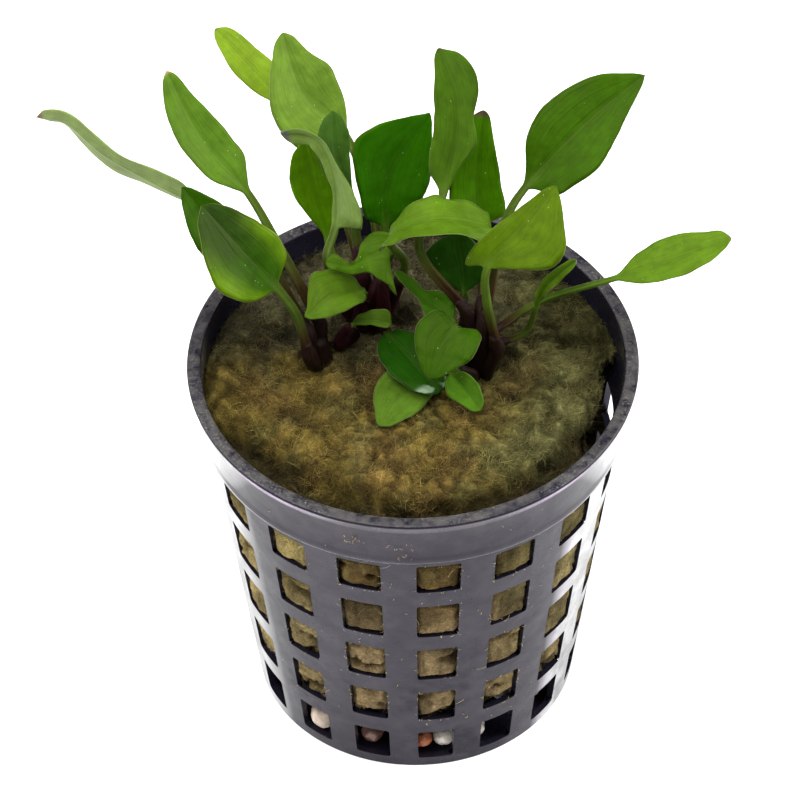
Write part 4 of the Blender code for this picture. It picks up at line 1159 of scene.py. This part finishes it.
    leaf("rounded", [(5.0, 2.6, 51.8), (4.9, 2.2, 54.6)],
         [(4.8, 1.2, 56.3), (1.9, 2.9, 57.9), (-2.0, 5.7, 60.6)],
         (1.0, 1.8, 2.1, 2.0, 1.4, 0.8, 0.9, 0.6, 0.3), (0.6, 1.3, 2.0, 2.5, 2.2, 1.0, 0.8, 0.6, 0.3),
         roll=12, green=(52, 92, 10), margin=(150, 160, 96), wave=0.22)
    leaf("small_right", [(6.8, -1.3, 50.2), (5.4, -1.9, 51.6)],
         [(4.6, -2.5, 51.5), (6.2, -4.5, 50.6), (7.9, -7.0, 49.6)],
         (0.4, 0.9, 1.3, 1.6, 1.7, 1.6, 1.3, 0.9, 0.3), (0.4, 1.1, 1.8, 2.2, 2.1, 1.7, 1.3, 0.9, 0.3),
         roll=-12, stalk_radius=0.8, green=(70, 112, 20))
    leaf("dark_behind", [(6.4, 3.8, 51.6), (6.2, 4.7, 54.5)],
         [(6.2, 5.3, 57.3), (6.0, 7.0, 60.2), (5.4, 9.3, 63.4)],
         (0.4, 1.3, 2.5, 3.3, 3.9, 4.3, 4.1, 2.6, 0.7), (0.4, 1.3, 2.4, 2.8, 2.8, 2.5, 2.0, 1.2, 0.4),
         fold=4, green=(30, 70, 8))
    leaf("narrow_folded", [(10.0, 4.6, 49.0), (13.5, 5.6, 50.0)],
         [(14.8, 6.0, 53.6), (16.1, 7.4, 56.0), (19.7, 8.7, 59.0)],
         (0.3, 0.4, 0.6, 0.8, 0.9, 0.9, 0.8, 0.7, 0.4), (0.3, 0.4, 0.7, 1.1, 1.3, 1.3, 1.1, 0.9, 0.4),
         roll=-20, fold=40, stalk_radius=0.65, green=(92, 128, 26), margin=(150, 150, 110))
    leaf("far_right", [(9.2, 3.6, 51.8), (15.6, 7.9, 53.0)],
         [(24.2, 5.6, 59.0), (31.1, 6.1, 61.4), (38.0, 7.0, 64.1)],
         (0.5, 1.2, 2.3, 2.9, 3.0, 2.8, 2.2, 1.5, 0.6), (0.5, 1.4, 2.7, 3.3, 3.4, 3.2, 2.7, 1.8, 0.7),
         roll=-12, stalk_radius=0.8, green=(95, 131, 27), tip=(120, 120, 70), stalk_green=1.0)
    leaf("lowest", [(5.1, -0.1, 49.8), (3.4, 0.4, 49.4)],
         [(1.8, 0.0, 49.1), (-2.0, -4.2, 48.9), (-4.1, -8.5, 48.8)],
         (0.6, 2.0, 2.9, 3.2, 3.2, 2.9, 2.3, 1.4, 0.5), (0.6, 2.2, 3.1, 3.3, 3.0, 2.3, 1.4, 0.8, 0.4),
         roll=8, fold=4, stalk_radius=0.7, green=(76, 106, 28))


PEBBLE_TINTS = (linear(196, 178, 160), linear(120, 88, 74), linear(176, 98, 58), linear(212, 204, 194),
                linear(196, 188, 176), linear(150, 128, 106))


def build_pebble(number, place, size, tint, finish):
    """A water-worn stone, pitted and uneven."""
    rng = random.Random(10 + number)
    shape = bmesh.new()
    bmesh.ops.create_icosphere(shape, subdivisions=4, radius=1.0)
    shift = Vector((rng.uniform(0, 9), rng.uniform(0, 9), rng.uniform(0, 9)))
    turn = rng.uniform(0, math.tau)
    points, shades = [], []
    for vertex in shape.verts:
        fine = noise.fractal(vertex.co * 4.0 + shift, 0.9, 2.0, 3)
        uneven = 1.0 + 0.22 * noise.noise(vertex.co * 1.3 + shift) + 0.02 * fine
        x, y, z = (part * reach * uneven for part, reach in zip(vertex.co, size))
        points.append((place[0] + x * math.cos(turn) - y * math.sin(turn),
                       place[1] + x * math.sin(turn) + y * math.cos(turn), place[2] + z))
        shades.append(tint * (1.0 + 0.25 * fine))
    faces = [[v.index for v in face.verts] for face in shape.faces]
    shape.free()
    add_piece(f"stone_{number}", points, faces, finish, [f"pebble_{number}"],
              {"tint": np.array(shades)})


def build_pebbles(finish):
    """A loose layer on the pot's floor: five stones in the front windows, a ring and a few inside it."""
    places = [(-130.0, 17.8, (1.65, 1.6, 1.75)), (-108.5, 17.1, (1.4, 1.3, 1.35)),
              (-88.3, 17.3, (1.2, 1.2, 1.2)), (-79.6, 17.3, (1.2, 1.2, 1.25)), (-66.0, 17.1, (1.3, 1.2, 1.3))]
    for i, degrees in enumerate((-36, -6, 26, 58, 92, 128, 165, -162)):
        places.append((degrees, 15.9, (2.3 + 0.2 * (i % 2), 1.9, 2.0)))
    for i in range(3):
        places.append((30.0 + 120.0 * i, 6.5, (3.2, 2.7, 2.3)))
    for i, (degrees, reach, size) in enumerate(places):
        place = polar(reach, math.radians(degrees), FLOOR + 0.3 + size[2] * 1.08)
        build_pebble(i + 1, place, size, PEBBLE_TINTS[i % len(PEBBLE_TINTS)], finish)


# Lights: name, place and size in metres, and power in watts. They all face the plant's middle.
LIGHTS = (("top_light", (-0.15, -0.20, 0.90), 0.7, 11.0), ("left_light", (-0.60, 0.05, 0.45), 0.5, 3.0),
          ("right_light", (0.60, 0.05, 0.45), 0.5, 8.0), ("back_light", (-0.35, 0.40, 0.75), 0.5, 4.0))
LIT_PLACE = Vector((0.0, 0.0, 0.03))
FLOOR_REACH = 1.5
SKY_STRENGTH = 0.22


def add_stage():
    """A pale floor and soft lights: one large above, one on each side and one behind."""
    mesh = bpy.data.meshes.new("floor")
    mesh.from_pydata([(x * FLOOR_REACH, y * FLOOR_REACH, 0) for x, y in ((-1, -1), (1, -1), (1, 1), (-1, 1))],
                     [], [(0, 1, 2, 3)])
    floor = bpy.data.objects.new("floor", mesh)
    bpy.context.scene.collection.objects.link(floor)
    mesh.materials.append(Nodes("pale_floor").finish(Base_Color=(0.93, 0.93, 0.93), Roughness=0.9,
                                                     Specular_IOR_Level=0.1))

    world = bpy.data.worlds.new("studio")
    bpy.context.scene.world = world
    world.use_nodes = True
    sky = world.node_tree.nodes["Background"]
    sky.inputs["Color"].default_value = (1.0, 1.0, 1.0, 1.0)
    sky.inputs["Strength"].default_value = SKY_STRENGTH

    for name, place, size, power in LIGHTS:
        lamp = bpy.data.lights.new(name, "AREA")
        lamp.size = size
        lamp.energy = power
        holder = bpy.data.objects.new(name, lamp)
        holder.location = place
        holder.rotation_euler = (LIT_PLACE - Vector(place)).to_track_quat("-Z", "Y").to_euler()
        bpy.context.scene.collection.objects.link(holder)


def add_camera():
    """The photograph's view: 46 degrees above the front, through a long lens, turned by under a degree."""
    ahead = Vector((0.0, math.cos(CAMERA_RISE), -math.sin(CAMERA_RISE)))
    up = Vector((0.0, math.sin(CAMERA_RISE), math.cos(CAMERA_RISE)))
    right = Vector((1.0, 0.0, 0.0))
    turned_right = right * math.cos(CAMERA_LEAN) + up * math.sin(CAMERA_LEAN)
    turned_up = up * math.cos(CAMERA_LEAN) - right * math.sin(CAMERA_LEAN)
    place = (Vector((0.0, 0.0, AIM_HEIGHT)) - turned_right * (AXIS_RIGHT / PIXELS_PER_MM)
             + turned_up * (AXIS_DOWN / PIXELS_PER_MM) - ahead * CAMERA_DISTANCE)
    data = bpy.data.cameras.new("camera")
    data.sensor_width = 36.0
    data.lens = PIXELS_PER_MM * CAMERA_DISTANCE * data.sensor_width / PHOTO_PIXELS
    data.clip_start, data.clip_end = 0.05, 20.0
    camera = bpy.data.objects.new("camera", data)
    turn = Matrix((turned_right, turned_up, -ahead)).transposed().to_4x4()
    camera.matrix_world = Matrix.Translation(place * MM) @ turn
    bpy.context.scene.collection.objects.link(camera)
    bpy.context.scene.camera = camera


LEAF_SKIN = leaf_material()
CROWN_SHEATH = crown_material()
FIBRE = fibre_material()
build_pot(pot_material())
front = build_wool("wool_front_fleece", "wool_front", -1, wool_material("front_fleece"), 5)
back = build_wool("wool_back_fleece", "wool_back", 1, wool_material("back_fleece"), 25)
TOP_ROW = SIDE_ROWS - 3
add_fibres("front_top_fibres", front[TOP_ROW:], 33000, FIBRE, 41)
add_fibres("back_top_fibres", back[TOP_ROW:], 20000, FIBRE, 42)
add_fibres("front_side_fibres", front[:TOP_ROW], 14000, FIBRE, 43, lift=0.2)
add_fibres("back_side_fibres", back[:TOP_ROW], 5000, FIBRE, 44, lift=0.2)
add_stray_bits(FIBRE)
build_leaves()
build_crown("left", LEFT_CROWN, CROWN_SHEATH, 61, BARK * 0.7, BARK, 2.0)
build_crown("middle", MIDDLE_CROWN, CROWN_SHEATH, 71, PLUM * 0.8, PLUM, 4.0)
build_crown("right", RIGHT_CROWN, CROWN_SHEATH, 81, BARK * 0.7, BARK, 2.0)
build_pebbles(pebble_material())
add_stage()
add_camera()
bpy.context.scene.view_settings.view_transform = "Standard"
